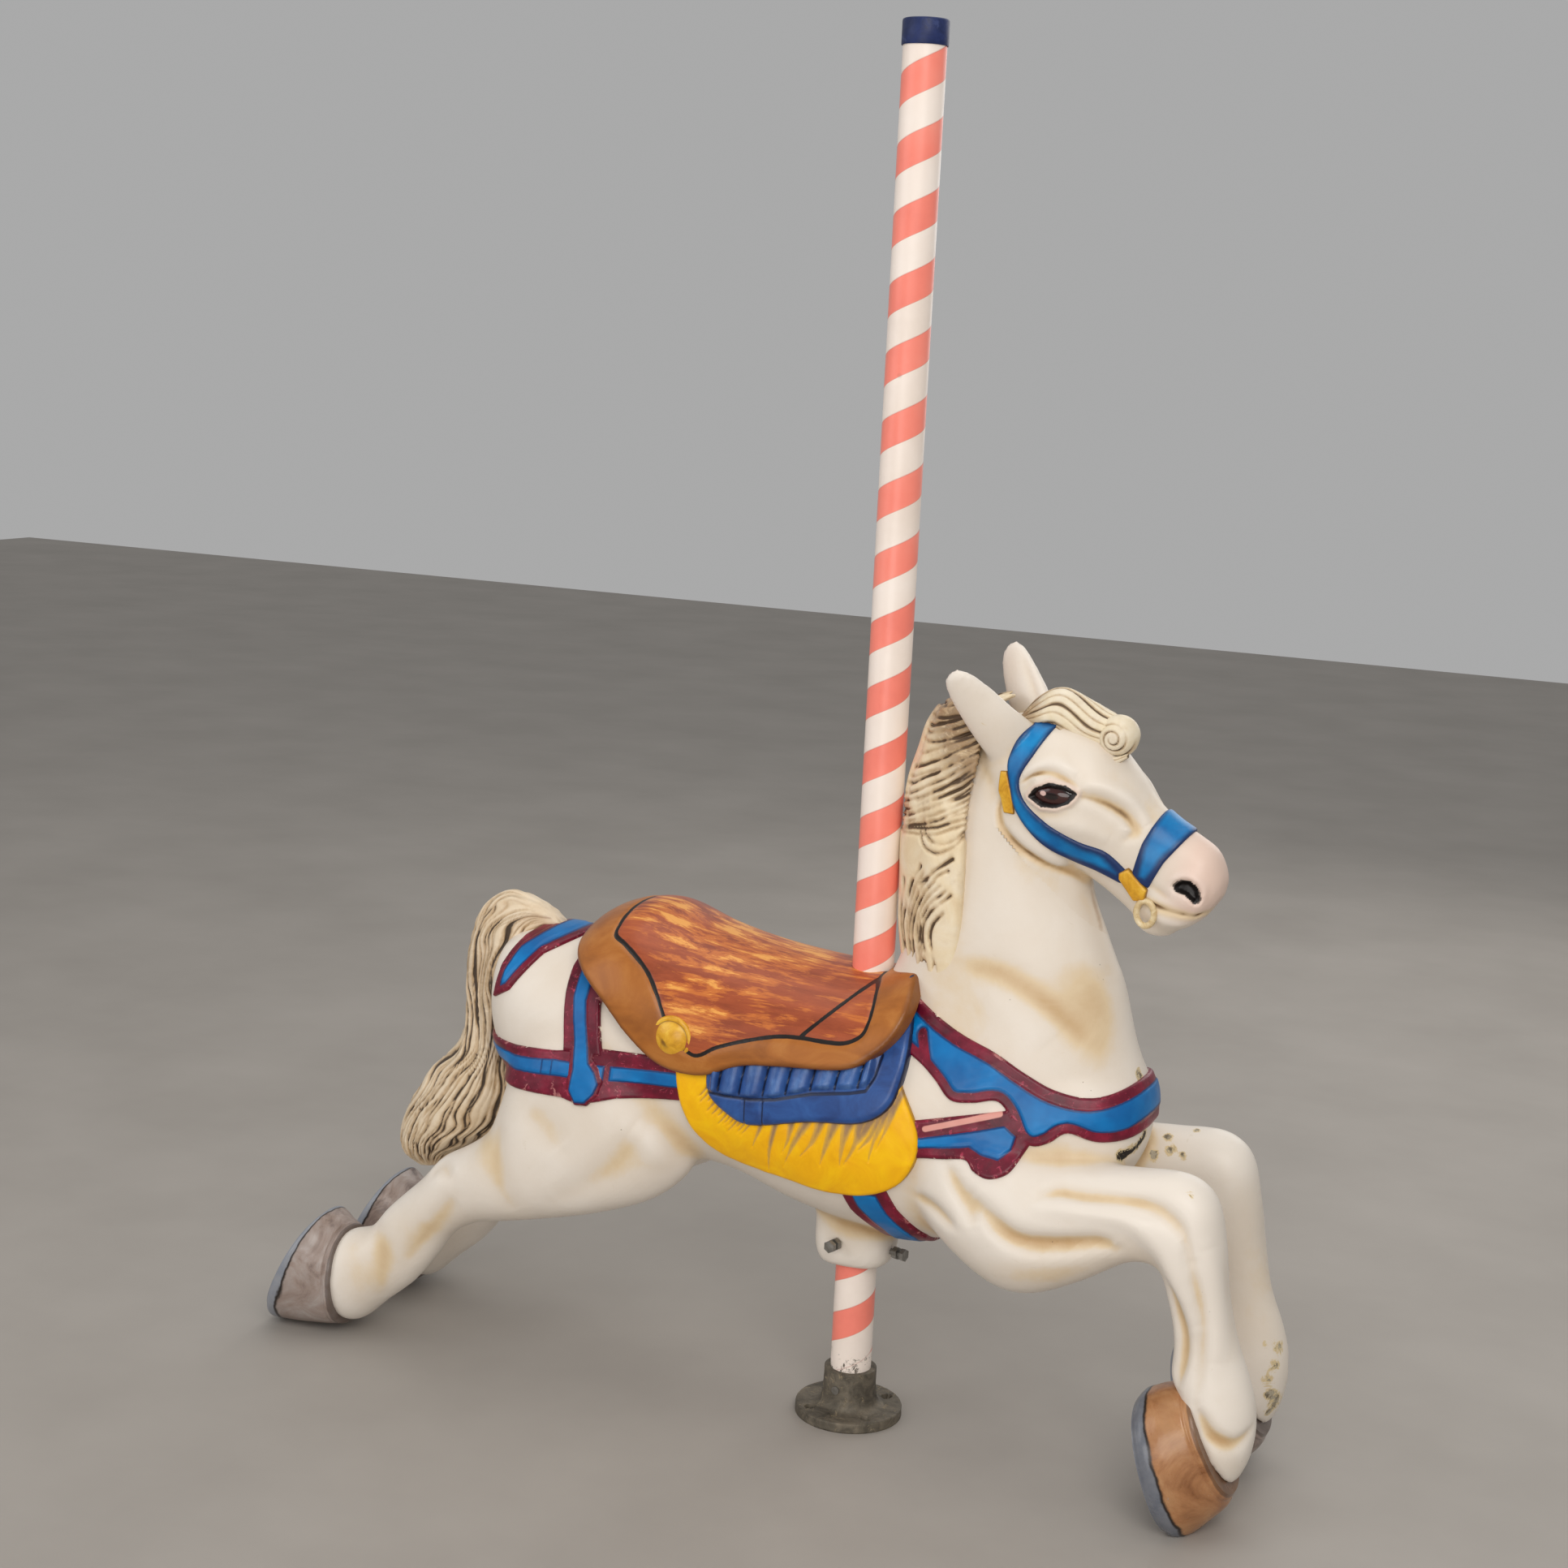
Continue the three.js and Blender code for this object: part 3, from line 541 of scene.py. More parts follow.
# Places where the paint has come off: centre and radius.
CHIPS = [
    ((480, 60, 122), 14), ((497, 62, 96), 20), ((492, 55, 140), 14), ((487, 70, 160), 13),
    ((326, -14, 476), 10), ((330, -20, 466), 8), ((334, 45, 366), 9), ((345, 61, 386), 8),
    ((352, 51, 374), 9), ((367, 48, 370), 7), ((373, 76, 393), 7), ((322, 52, 384), 10),
    ((483, 54, 126), 11), ((486, 57, 108), 11), ((485, 61, 86), 9), ((476, 50, 170), 9),
    ((416, -112, 386), 9), ((330, -75, 250), 6), ((246, -95, 232), 6), ((-262, -96, 205), 5),
    ((-586, -112, 128), 5), ((-350, -117, 470), 6), ((410, 60, 398), 10), ((368, -70, 399), 8),
]

FLAP = np.vstack([smooth([(-354, 546), (-330, 529), (-283, 495), (-248, 460), (-216, 434),
                          (-188, 425), (-150, 427), (-104, 447), (-55, 455), (18, 463), (49, 480),
                          (72, 506), (80, 540), (66, 572), (40, 592)]), [(40, 680), (-360, 680)]])
CLOTH = np.vstack([smooth([(-190, 430), (-182, 386), (-162, 348), (-124, 327), (-60, 319), (2, 312),
                           (55, 319), (90, 339), (109, 370), (108, 404), (86, 447)]),
                   [(70, 500), (-186, 500)]])
BLANKET = np.vstack([smooth([(-149, 440), (-146, 406), (-122, 386), (-88, 377), (-18, 393), (44, 402),
                             (76, 424), (87, 460), (86, 500), (72, 560)]), [(-140, 500)]])
COLLAR = np.vstack([smooth([(50, 556), (100, 528), (140, 510), (180, 496), (215, 478), (250, 463),
                            (290, 458), (325, 470), (352, 492)]), [(370, 492), (370, 428)],
                    smooth([(352, 428), (330, 415), (300, 412), (270, 420), (252, 408), (235, 402),
                            (219, 410), (205, 434), (190, 446), (165, 441), (140, 441), (120, 460),
                            (98, 476), (60, 494)])])
SHOULDER_STRAP = np.vstack([[(96, 412), (206, 438), (232, 404)],
                            smooth([(226, 392), (216, 374), (196, 366), (178, 371), (166, 381),
                                    (140, 377), (96, 369)])])
HIP_STRAP = np.array([(-500, 412), (-405, 416), (-340, 424), (-289, 434), (-180, 436), (-180, 388),
                      (-260, 380), (-303, 368), (-326, 373), (-398, 369), (-500, 366)], float)
CROUP_STRAP = np.array([(-281, 425), (-294, 481), (-295, 520), (-306, 600), (-335, 600), (-346, 513),
                        (-342, 486), (-330, 425)], float)
CROUP_TONGUE = np.array([(-322, 452), (-319, 384), (-307, 367), (-292, 368), (-279, 381), (-275, 397),
                         (-281, 413), (-290, 421), (-290, 452)], float)
CRUPPER = np.array([(-350, 546), (-394, 520), (-424, 477), (-450, 462), (-446, 500), (-434, 530),
                    (-404, 556), (-350, 570)], float)
GIRTH = np.array([(14, 330), (70, 330), (82, 300), (106, 262), (112, 200), (58, 200), (48, 262),
                  (26, 292)], float)
NOSEBAND = np.array([(340, 790), (374, 766), (346, 728), (331, 698), (311, 706), (321, 746)], float)
CHEEK_STRAP = np.vstack([smooth([(190, 862), (178, 845), (171, 822), (176, 797), (184, 769), (209, 741),
                                 (240, 721), (273, 710), (300, 699)]),
                         smooth([(306, 715), (284, 734), (256, 743), (223, 760), (200, 776),
                                 (189, 792), (188, 808), (200, 832), (214, 860)])])

EYE = [(196, -69, 782), (203, -70, 791), (218, -78, 798), (235, -74, 796), (246, -71, 790),
       (239, -70, 781), (226, -70, 775), (210, -69, 774)]
NOSTRIL = [(354, -50, 700), (361, -50, 706), (372, -50, 707), (382, -51, 699), (385, -51, 687),
           (380, -51, 682), (374, -52, 687), (367, -50, 692), (357, -50, 694)]
MOUTH = [(318, -40, 679), (340, -44, 673), (367, -44, 669), (388, -34, 668), (398, -18, 669),
         (402, 0, 670)]
# The crease behind the jaw, the upper lid's line and the crease before the eye.
JAW = [(159, -56, 772), (157, -54, 758), (163, -54, 741), (182, -55, 723), (209, -49, 707), (238, -26, 693),
       (251, 4, 679)]
LID = [(182, -66, 793), (199, -72, 806), (217, -69, 809), (236, -70, 803), (252, -67, 793)]
EYE_CREASE = [(247, -71, 789), (266, -63, 785), (285, -57, 778), (302, -52, 767), (309, -50, 754)]
# Thin brown lines on the face, partly painted lines and partly painted shade in the jaw crease, over the lid
# and before the eye: line, half width and weight.
INK_AND_CREASE_SHADE = [
    (JAW, 3.0, 1.25), (LID, 2.6, 0.95), (EYE_CREASE, 4.0, 0.8),
    ([(251, 4, 679), (262, -6, 650), (270, -10, 620)], 6, 0.5),
    ([(150, -50, 830), (168, -52, 812), (182, -58, 800)], 4.5, 0.6),
    ([(200, -30, 858), (212, -34, 852), (226, -30, 848)], 5, 0.5),
    ([(244, -30, 838), (262, -28, 826), (284, -20, 824)], 4, 0.55),
]
# The face's carving: line, half width, and height out of the skin.
FACE = [
    (JAW, 5.0, -5.0), (LID, 3.6, -3.6), (EYE_CREASE + [(300, -52, 744)], 8, -5.0),
    ([(172, -60, 745), (190, -62, 730), (214, -58, 714), (240, -36, 700)], 10, 2.6),
    ([(178, -38, 848), (158, -54, 868), (140, -66, 892), (126, -78, 910)], 6, -3.4),
    ([(186, -66, 800), (203, -70, 816), (224, -66, 819), (246, -64, 808)], 8, 4.2),
    ([(186, -67, 777), (204, -67, 766), (225, -69, 763), (243, -66, 768)], 4, -0.6),
    ([(250, -66, 800), (276, -56, 797), (305, -48, 782), (322, -44, 760)], 9, 4.2),
    ([(210, -68, 752), (232, -68, 754), (258, -65, 752), (284, -57, 742)], 12, 3.0),
    ([(352, -50, 706), (368, -50, 713), (386, -46, 702), (388, -48, 686)], 5, 2.6),
    ([(322, -42, 700), (340, -46, 690), (352, -48, 684)], 6, -2.2),
    ([(326, -42, 664), (344, -42, 658), (366, -36, 656)], 8, 2.4),
]
# Balls that fill the head out, on each side: centre, radii and turn.
HEAD_BALLS = [((224, 54, 803), (34, 14, 11), 0.35), ((202, 34, 758), (57, 27, 60), 0.0),
              ((373, 24, 692), (23, 17, 20), 0.0)]
CHIN = ((330, 0, 652), (26, 24, 18), 0.2)
# How fine each loft is, how square its sections are, and how its sides are fluted.
NETS = {
    "torso": {"rings": 110, "sides": 96, "square": 2.15},
    "neck": {"rings": 70, "sides": 80},
    "boss": {"rings": 24, "sides": 64, "square": 3},
    "thigh": {"rings": 90, "sides": 64, "square": 2.1},
    "foreleg": {"rings": 100, "sides": 64, "square": 2.1},
    "head": {"rings": 70, "sides": 72, "square": 2.2},
    "ear": {"rings": 30, "sides": 40},
    "hoof": {"rings": 60, "sides": 96, "square": 2.25},
    "mane_near": {"rings": 260, "sides": 130, "flutes": 7, "depth": 7, "twist": 1.6},
    "mane_far": {"rings": 200, "sides": 130, "flutes": 4, "depth": 7, "twist": 1.6},
    "tail": {"rings": 220, "sides": 210, "flutes": 8, "depth": 9, "twist": 2.4},
    "forelock": {"rings": 130, "sides": 120, "flutes": 4, "depth": 5, "twist": 2},
    "wisp": {"rings": 60, "sides": 32, "flutes": 5, "depth": 1.6, "twist": 1.5},
    "seat": {"rings": 170, "sides": 190, "square": 2.15},
}


SMOOTHING = {"times": 26, "share": 0.6, "less_on_head": 0.85}


def body_skin():
    """The horse without hooves and hair, joined into one skin."""
    ear = loft(EAR, **NETS["ear"])
    head_parts = [loft(HEAD, **NETS["head"]), ear, ear.mirrored(), ball(*CHIN)]
    for centre, radii, turn in HEAD_BALLS:
        bulge = ball(centre, radii, turn)
        head_parts += [bulge, bulge.mirrored()]
    for skin in head_parts:
        skin.points = turned_head(skin.points)
    limbs = []
    for sections, net in ((THIGH, "thigh"), (FORELEG, "foreleg")):
        limb = loft(sections, **NETS[net])
        limbs += [limb, limb.mirrored()]
    trunk = [loft(TORSO, **NETS["torso"]), loft(NECK, **NETS["neck"]), loft(BOSS, **NETS["boss"])]
    skin = blended(trunk + limbs + head_parts, VOXEL)
    on_head = climb(in_head(skin.points), -10, 30)
    return skin.relax(SMOOTHING["times"], SMOOTHING["share"], 1 - SMOOTHING["less_on_head"] * on_head)


# The throat's plane, seen from the side: a place on it, and the way across it up into the head.
THROAT = (300, 600)
THROAT_WAY = (0.69, 0.72)


def in_head(points):
    """How far a point lies on the head's side of the throat, in millimetres."""
    return (points[:, [0, 2]] - THROAT) @ THROAT_WAY


# ---------------------------------------------------------------- carved skins

# The muscles' lines as they're carved, and as glaze and painted shade lie in those that are hollow.
CARVING = {"width": 1.3, "height": 1.75}
GLAZE_AND_SHADE = {"width": 0.5, "weight": -1 / 5}


def carve_body(skin):
    lines = [(line, width * CARVING["width"], height * CARVING["height"]) for line, width, height in MUSCLES]
    return skin.push(strokes(folded(skin.points), lines))


# Depths and widths of the face's carving, in millimetres.
EYE_DEPTH = 5.0
LID_RIM = {"height": 2.4, "away": 3.2, "width": 3.0}
NOSTRIL_DEPTH = 8.0
NOSTRIL_LIP = 1.5
MOUTH_GROOVE = 3.2
NO_FIELD = 30


def on_face(line):
    """A line that was placed on the finished head, on the near side of the straight one."""
    return folded(straight_head(line))


def on_faces(lines):
    return [(on_face(line), width, height) for line, width, height in lines]


def carve_head(skin):
    local = on_face(skin.points)
    eye = outline_depth(local, on_face(EYE)[:, [0, 2]], NO_FIELD)
    eye = np.where(local[:, 1] < -40, eye, -NO_FIELD)
    nostril = outline_depth(local, on_face(smooth(NOSTRIL + NOSTRIL[:1], 4))[:, [0, 2]], NO_FIELD)
    nostril = np.where(local[:, 1] < -22, nostril, -NO_FIELD)
    mouth = line_distance(local, on_face(MOUTH))
    rim = LID_RIM["height"] * bell(eye + LID_RIM["away"], LID_RIM["width"])
    skin.push(strokes(local, on_faces(FACE)) + np.where(eye > 0, -EYE_DEPTH * climb(eye, 0, 2.5), rim)
              - NOSTRIL_DEPTH * climb(nostril, -NOSTRIL_LIP, 3.5) - MOUTH_GROOVE * bell(mouth, MOUTH_GROOVE))
    ink = np.clip(strokes(local, on_faces(INK_AND_CREASE_SHADE)), 0, 1)
    skin.marks.update(eye=eye, nostril=nostril, mouth=mouth, ink=ink)
    return skin


CRACK_WIDTH = 11
WARM_REACH = 2.2
# Marks of how hollow a point is, which set glaze and painted shade: rounds of averaging, rounds of
# smoothing, and the fullest hollow.
HOLLOWS = {"fine": (4, 2, 0.35), "broad": (60, 6, 4.0)}


def worn(share):
    """1 well inside a chip, and 0 from a quarter of its radius past its edge."""
    return np.clip(1.25 - share, 0, 1)


def glaze_shade_and_wear(skin):
    """Marks for paint: how hollow each point is, for glaze and painted shade; where the cream goes warm,
    glaze with painted shade; and where paint is gone.
    """
    normals = skin.normals()
    for name, (times, again, full) in HOLLOWS.items():
        hollow = ((skin.averaged(skin.points, times) - skin.points) * normals).sum(1)
        skin.marks[name] = np.clip(skin.averaged(hollow, again)[:, 0] / full, -1, 1)
    near = folded(skin.points)
    carved = [(line, width * GLAZE_AND_SHADE["width"], height * GLAZE_AND_SHADE["weight"])
              for line, width, height in MUSCLES if height < 0]
    skin.marks["stroke"] = np.clip(strokes(near, carved), 0, 1)
    warm = strokes(near, WARM, WARM_REACH) + strokes(skin.points, FAR_LEG_WARM, WARM_REACH)
    skin.marks["warm"] = np.clip(warm, 0, 1)
    skin.marks["crack"] = worn(line_distance(skin.points, CHEST_CRACK) / CRACK_WIDTH)
    chips = [0.8 * worn(np.linalg.norm(skin.points - centre, axis=1) / radius) for centre, radius in CHIPS]
    skin.marks["chip"] = np.max(chips + [0.85 * skin.marks["crack"]], axis=0)


NORMAL_MARKS = ("nx", "ny", "nz")
PATCH_MARGIN = 5


def patch(skin, field, levels, lift, sink=2.0, fine=1):
    """The part of a skin where field is above 0, lifted off it by lift(field, points), with its
    edge turned down into the skin. The field and the skin's normals come from the skin's own
    points, so a patch lies on the skin whichever way the skin faces."""
    value = field(skin.points)
    skin = Skin(skin.points, skin.faces, **dict(zip(NORMAL_MARKS, skin.normals().T)))
    skin = skin.part((value[skin.faces] > -PATCH_MARGIN).any(1))
    for _ in range(fine):
        skin = skin.halved()
    value = field(skin.points)
    for level in levels:
        skin, value = skin.split(value, level)
    skin.marks["depth"] = value
    skin = skin.part(value[skin.faces].mean(1) > 0)
    normals = np.stack([skin.marks.pop(n) for n in NORMAL_MARKS], 1)
    normals /= np.linalg.norm(normals, axis=1)[:, None]
    ground = skin.points
    raised = ground + normals * lift(skin.marks["depth"], ground)[:, None]
    rim = skin.rim()
    used, index = np.unique(rim, return_inverse=True)
    (one, two), (low_one, low_two) = rim.T, index.reshape(-1, 2).T + len(ground)
    faces = np.vstack([skin.faces, np.stack([two, one, low_one], 1), np.stack([two, low_one, low_two], 1)])
    marks = {n: np.concatenate([v, v[used]]) for n, v in skin.marks.items()}
    return Skin(np.vstack([raised, ground[used] - normals[used] * sink]), faces, **marks)


# The share of its height that a pad still has at its edge.
EDGE_SHARE = 0.35


def rounded(depth, height, radius):
    """The height of a pad that rounds over to its edge."""
    share = np.clip(depth / radius, 0, 1)
    return height * (EDGE_SHARE + (1 - EDGE_SHARE) * np.sqrt(1 - (1 - share) ** 2))


# ---------------------------------------------------------------- materials

def rgb(text):
    """A colour from its screen value, as #rrggbb."""
    parts = [int(text[i:i + 2], 16) / 255 for i in (1, 3, 5)]
    return tuple(((c + 0.055) / 1.055) ** 2.4 if c > 0.04045 else c / 12.92 for c in parts) + (1,)


# How strongly every paint mirrors its surroundings; 0.5 is Blender's own.
SPECULAR = 0.34


class Paint:
    """A procedural material, built up by naming its sources."""

    def __init__(self, name, rough=0.4, metal=0.0, coat=0.0, coat_rough=0.2):
        self.material = bpy.data.materials.new(name)
        self.material.use_nodes = True
        self.tree = self.material.node_tree
        self.shader = self.tree.nodes["Principled BSDF"]
        self.shader.inputs["Roughness"].default_value = rough
        self.shader.inputs["Specular IOR Level"].default_value = SPECULAR
        self.shader.inputs["Metallic"].default_value = metal
        self.shader.inputs["Coat Weight"].default_value = coat
        self.shader.inputs["Coat Roughness"].default_value = coat_rough
        self.place = self.node("ShaderNodeTexCoord").outputs["Object"]

    def node(self, kind, inputs=None, **settings):
        node = self.tree.nodes.new(kind)
        for name, value in settings.items():
            setattr(node, name, value)
        for name, value in (inputs or {}).items():
            self.feed(node.inputs[name], value)
        return node

    def feed(self, socket, value):
        if isinstance(value, bpy.types.NodeSocket):
            self.tree.links.new(value, socket)
        else:
            socket.default_value = value

    def mark(self, name):
        return self.node("ShaderNodeAttribute", attribute_name=name).outputs["Fac"]

    def noise(self, scale, detail=3.0, rough=0.55, warp=0.0, stretch=(1, 1, 1)):
        place = self.node("ShaderNodeMapping", {"Vector": self.place, "Scale": stretch}).outputs[0]
        return self.node("ShaderNodeTexNoise", {"Vector": place, "Scale": scale, "Detail": detail,
                                                "Roughness": rough, "Distortion": warp}).outputs[0]

    def cells(self, scale):
        return self.node("ShaderNodeTexVoronoi", {"Vector": self.place, "Scale": scale}).outputs["Distance"]

    def math(self, kind, one, two=0.0):
        return self.node("ShaderNodeMath", {0: one, 1: two}, operation=kind).outputs[0]

    def add(self, *terms):
        """The sum of (source, weight) pairs and plain numbers."""
        total = 0.0
        for term in terms:
            if isinstance(term, tuple):
                term = self.math("MULTIPLY", *term)
            total = term if isinstance(total, float) and total == 0.0 else self.math("ADD", total, term)
        return total

    def step(self, value, low, high, full=1.0):
        """Goes smoothly from 0 to full as value goes from low to high."""
        return self.node("ShaderNodeMapRange", {"Value": value, "From Min": low, "From Max": high,
                                                "To Max": full},
                         interpolation_type="SMOOTHSTEP").outputs[0]

    def both(self, one, two):
        return self.math("MULTIPLY", one, two)

    def over(self, colour, tint, value, low, high, weight=1.0):
        """The tint laid on the colour as value goes from low to high, as thick as weight."""
        return self.mix(self.step(value, low, high, weight), colour, tint)

    def mix(self, share, one, two):
        """From one colour, at a share of 0, to the other at 1."""
        one, two = (rgb(tint) if isinstance(tint, str) else tint for tint in (one, two))
        return self.node("ShaderNodeMix", {0: share, 6: one, 7: two}, data_type="RGBA").outputs[2]

    def ramp(self, value, *stops):
        node = self.node("ShaderNodeValToRGB", {0: value})
        points = node.color_ramp.elements
        while len(points) < len(stops):
            points.new(0.5)
        for point, (place, colour) in zip(points, stops):
            point.position = place
            point.color = rgb(colour)
        return node.outputs[0]

    def finish(self, colour, rough=None, height=None, bump=0.3, distance=0.001):
        self.feed(self.shader.inputs["Base Color"], rgb(colour) if isinstance(colour, str) else colour)
        if rough is not None:
            self.feed(self.shader.inputs["Roughness"], rough)
        if height is not None:
            normal = self.node("ShaderNodeBump", {"Height": height, "Strength": bump,
                                                  "Distance": distance}).outputs[0]
            self.feed(self.shader.inputs["Normal"], normal)
        return self.material


# The horse's cream, from its high places to its deepest hollows; its ochre and brown stops are partly glaze,
# partly painted shade.
CREAM = ("#E9E0D4", "#E2D6C6", "#DDC7A4", "#C6A478", "#94704C")


def chipped(p, colour, chip, crack):
    """Paint gone where chip is high, with a torn edge; nearly black in the crack, as painted shade inside
    it.
    """
    torn = p.add((chip, 0.9), (p.noise(52, 8, 0.8, 0.8), 2.0), -1.12)
    bare = p.mix(p.step(p.noise(120, 4, 0.7), 0.4, 0.62), "#B3A994", "#6E6250")
    bare = p.over(bare, "#1E1613", crack, 0.3, 0.7)
    colour = p.over(colour, "#DCC79C", torn, 0.24, 0.34)
    return p.over(colour, bare, torn, 0.44, 0.5), p.step(torn, 0.36, 0.5)


def horse_paint():
    p = Paint("horse_paint", rough=0.42, coat=0.12, coat_rough=0.3)
    stroke = p.both(p.mark("stroke"), p.noise(11, 4, 0.65, 0.6))
    # hollow darkens the cream in hollows, muscle grooves and warm lines: partly the real glaze, partly
    # painted shade.
    hollow = p.add((p.mark("fine"), 0.12), (p.mark("broad"), 0.42), (stroke, 0.36),
                   (p.mark("warm"), 0.6), (p.noise(3.5, 3, 0.55, 0.3), 0.75),
                   (p.noise(12, 5, 0.65, 0.6), 0.45), (p.noise(60, 3), 0.1), -0.37)
    colour = p.ramp(hollow, *zip((0.0, 0.32, 0.52, 0.8, 1.0), CREAM))
    colour = p.over(colour, "#C0AC8A", p.noise(55, 6, 0.75, 1.5), 0.63, 0.72, 0.2)
    fleck = p.both(p.step(p.cells(60), 0.06, 0.03), p.step(p.noise(12, 2), 0.56, 0.66))
    colour = p.mix(p.both(fleck, 0.7), colour, "#6B5237")
    colour = p.mix(p.both(p.mark("muzzle"), 0.7), colour, "#E3C2B2")
    mouth, eye = p.mark("mouth"), p.mark("eye")
    colour = p.over(colour, "#DFC592", mouth, 11, 3, 0.6)
    colour = p.over(colour, "#6E4F32", mouth, 3.4, 1.0, 0.9)
    # Brown face lines: painted lines, and painted shade in the jaw crease, over the lid and before the eye.
    ink = p.add((p.mark("ink"), 1.0), (p.noise(50, 4, 0.6), 0.5), -0.3)
    colour = p.over(colour, "#A98555", ink, 0.08, 0.6, 0.65)
    colour = p.over(colour, "#64492F", ink, 0.4, 0.85, 0.85)
    colour = p.over(colour, "#D8AF98", eye, -9, -2, 0.45)
    colour = p.over(colour, "#171010", eye, -2.0, -0.9)
    colour = p.over(colour, "#120D0C", p.mark("nostril"), -0.6, 0.2)
    colour, gone = chipped(p, colour, p.mark("chip"), p.mark("crack"))
    rough = p.add(0.36, (p.noise(24, 4), 0.12), (gone, 0.3))
    height = p.add((p.noise(420, 2), 0.25), (p.noise(70, 4, 0.6, 0.6), 0.7), (gone, -1.6))
    return p.finish(colour, rough, height, 0.35, 0.0007)


def strap_paint():
    p = Paint("strap_paint", rough=0.36, coat=0.06, coat_rough=0.2)
    grain, depth = p.noise(120, 4, 0.7), p.mark("depth")
    maroon = p.ramp(p.noise(34, 4, 0.65), (0.3, "#4C0A1E"), (0.52, "#6C0C28"), (0.7, "#861834"))
    maroon = p.over(maroon, "#B23A54", p.noise(95, 5, 0.75, 1.0), 0.58, 0.66, 0.75)
    pale = p.add((p.noise(46, 5, 0.75, 1.2), 1.0), (p.step(depth, 5, 1), 0.08))
    maroon = p.over(maroon, "#D08A86", pale, 0.64, 0.7, 0.6)
    blue = p.ramp(p.noise(20, 3), (0.35, "#0060A2"), (0.6, "#0074B8"), (0.8, "#0C88CE"))
    edge = p.add((p.mark("blue"), 1.0), (grain, 1.6), -0.8)
    blue = p.over(blue, "#0C3A70", edge, 3.0, 0.9)
    colour = p.over(maroon, blue, edge, -0.35, 0.35)
    # Painted highlight along the pink line of the shoulder strap.
    colour = p.over(colour, "#DF9C90", p.mark("pink"), 4.0, 2.6)
    nick = p.step(p.add((p.noise(85, 4, 0.7), 1.0), (p.step(depth, 2.0, 0.3), 0.12)), 0.74, 0.78)
    colour = p.mix(nick, colour, "#E5DACB")
    return p.finish(colour, p.add(0.3, (grain, 0.12), (nick, 0.3)),
                    p.add((p.noise(70, 4), 0.8), (nick, -1.0)), 0.3, 0.0006)


def cloth_paint():
    p = Paint("cloth_paint", rough=0.44, coat=0.03, coat_rough=0.25)
    colour = p.ramp(p.noise(26, 5, 0.65, 0.8), (0.3, "#F0AA00"), (0.5, "#F8B800"), (0.72, "#FFC800"))
    fold = p.add((p.mark("fold"), 1.0), (p.noise(55, 6, 0.72, 0.6, (1, 1, 0.3)), 1.1), -0.62)
    colour = p.over(colour, "#C09A50", fold, 0.1, 0.5, 0.75)
    colour = p.over(colour, "#94755C", fold, 0.45, 0.9, 0.85)
    # Painted shade: the yellow darkens to brown at the cloth's edge.
    colour = p.over(colour, "#8D6420", p.mark("depth"), 2.2, 0.3, 0.6)
    height = p.add((p.noise(60, 4, 0.6), 0.8), (fold, -0.6))
    return p.finish(colour, p.add(0.34, (p.noise(40, 3), 0.14)), height, 0.35, 0.0008)


def blanket_paint():
    p = Paint("blanket_paint", rough=0.36, coat=0.3, coat_rough=0.2)
    colour = p.ramp(p.noise(30, 5, 0.6, 0.5), (0.3, "#1C3A74"), (0.52, "#275091"), (0.75, "#3463A6"))
    # Painted highlight on the ribs' crowns; dark is painted shade in the lines between ribs and along the
    # edges.
    high = p.add((p.mark("rib"), 1.0), (p.noise(60, 5, 0.7, 0, (1, 1, 0.4)), 1.4), -0.7)
    colour = p.over(colour, "#6E95CC", high, 0.72, 1.3, 0.5)
    colour = p.over(colour, "#10162F", p.mark("dark"), 0.35, 0.8, 0.9)
    return p.finish(colour, p.add(0.3, (p.noise(50, 3), 0.16)), p.noise(90, 4), 0.25, 0.0006)


def saddle_paint():
    p = Paint("saddle_paint", rough=0.38, coat=0.12, coat_rough=0.2)
    brush = p.noise(46, 6, 0.72, 0.3, (0.16, 1, 1.2))
    sienna = p.ramp(p.add((brush, 0.7), (p.noise(9, 4, 0.6, 0.4), 0.4), -0.04),
                    (0.3, "#74341C"), (0.46, "#974728"), (0.6, "#AC5530"), (0.74, "#C46E36"))
    streaks = p.add((p.noise(70, 5, 0.72, 0.35, (0.16, 1, 1.1)), 1.0), (p.noise(8, 3, 0.6, 0.5), 0.9),
                    (p.mark("low"), 0.1), -0.67)
    sienna = p.over(sienna, "#CE7634", streaks, 0.34, 0.44, 0.8)
    sienna = p.over(sienna, "#F0AC54", streaks, 0.45, 0.54, 0.85)
    tan = p.ramp(p.noise(22, 5, 0.6, 0.7, (0.6, 1, 1)), (0.3, "#8F531F"), (0.52, "#A96628"),
                 (0.75, "#BC7C3A"))
    # Painted shade: the tan darkens towards the flap's edge.
    tan = p.over(tan, "#5F3417", p.mark("depth"), 7, 0.5, 0.55)
    colour = p.over(tan, sienna, p.mark("seat"), -0.4, 0.4)
    ragged = p.add((p.noise(60, 3), 1.4), -0.7)
    rim, fold = (p.math("ADD", p.math("ABSOLUTE", p.mark(name)), ragged) for name in ("seat", "fold"))
    fold = p.math("MAXIMUM", fold, p.both(p.mark("fold_end"), 9.0))
    colour = p.over(colour, "#17100D", p.math("MINIMUM", rim, fold), 2.5, 1.9)
    height = p.add((brush, 0.8), (p.noise(150, 3), 0.3))
    return p.finish(colour, p.add(0.3, (p.noise(45, 3), 0.16)), height, 0.3, 0.0008)


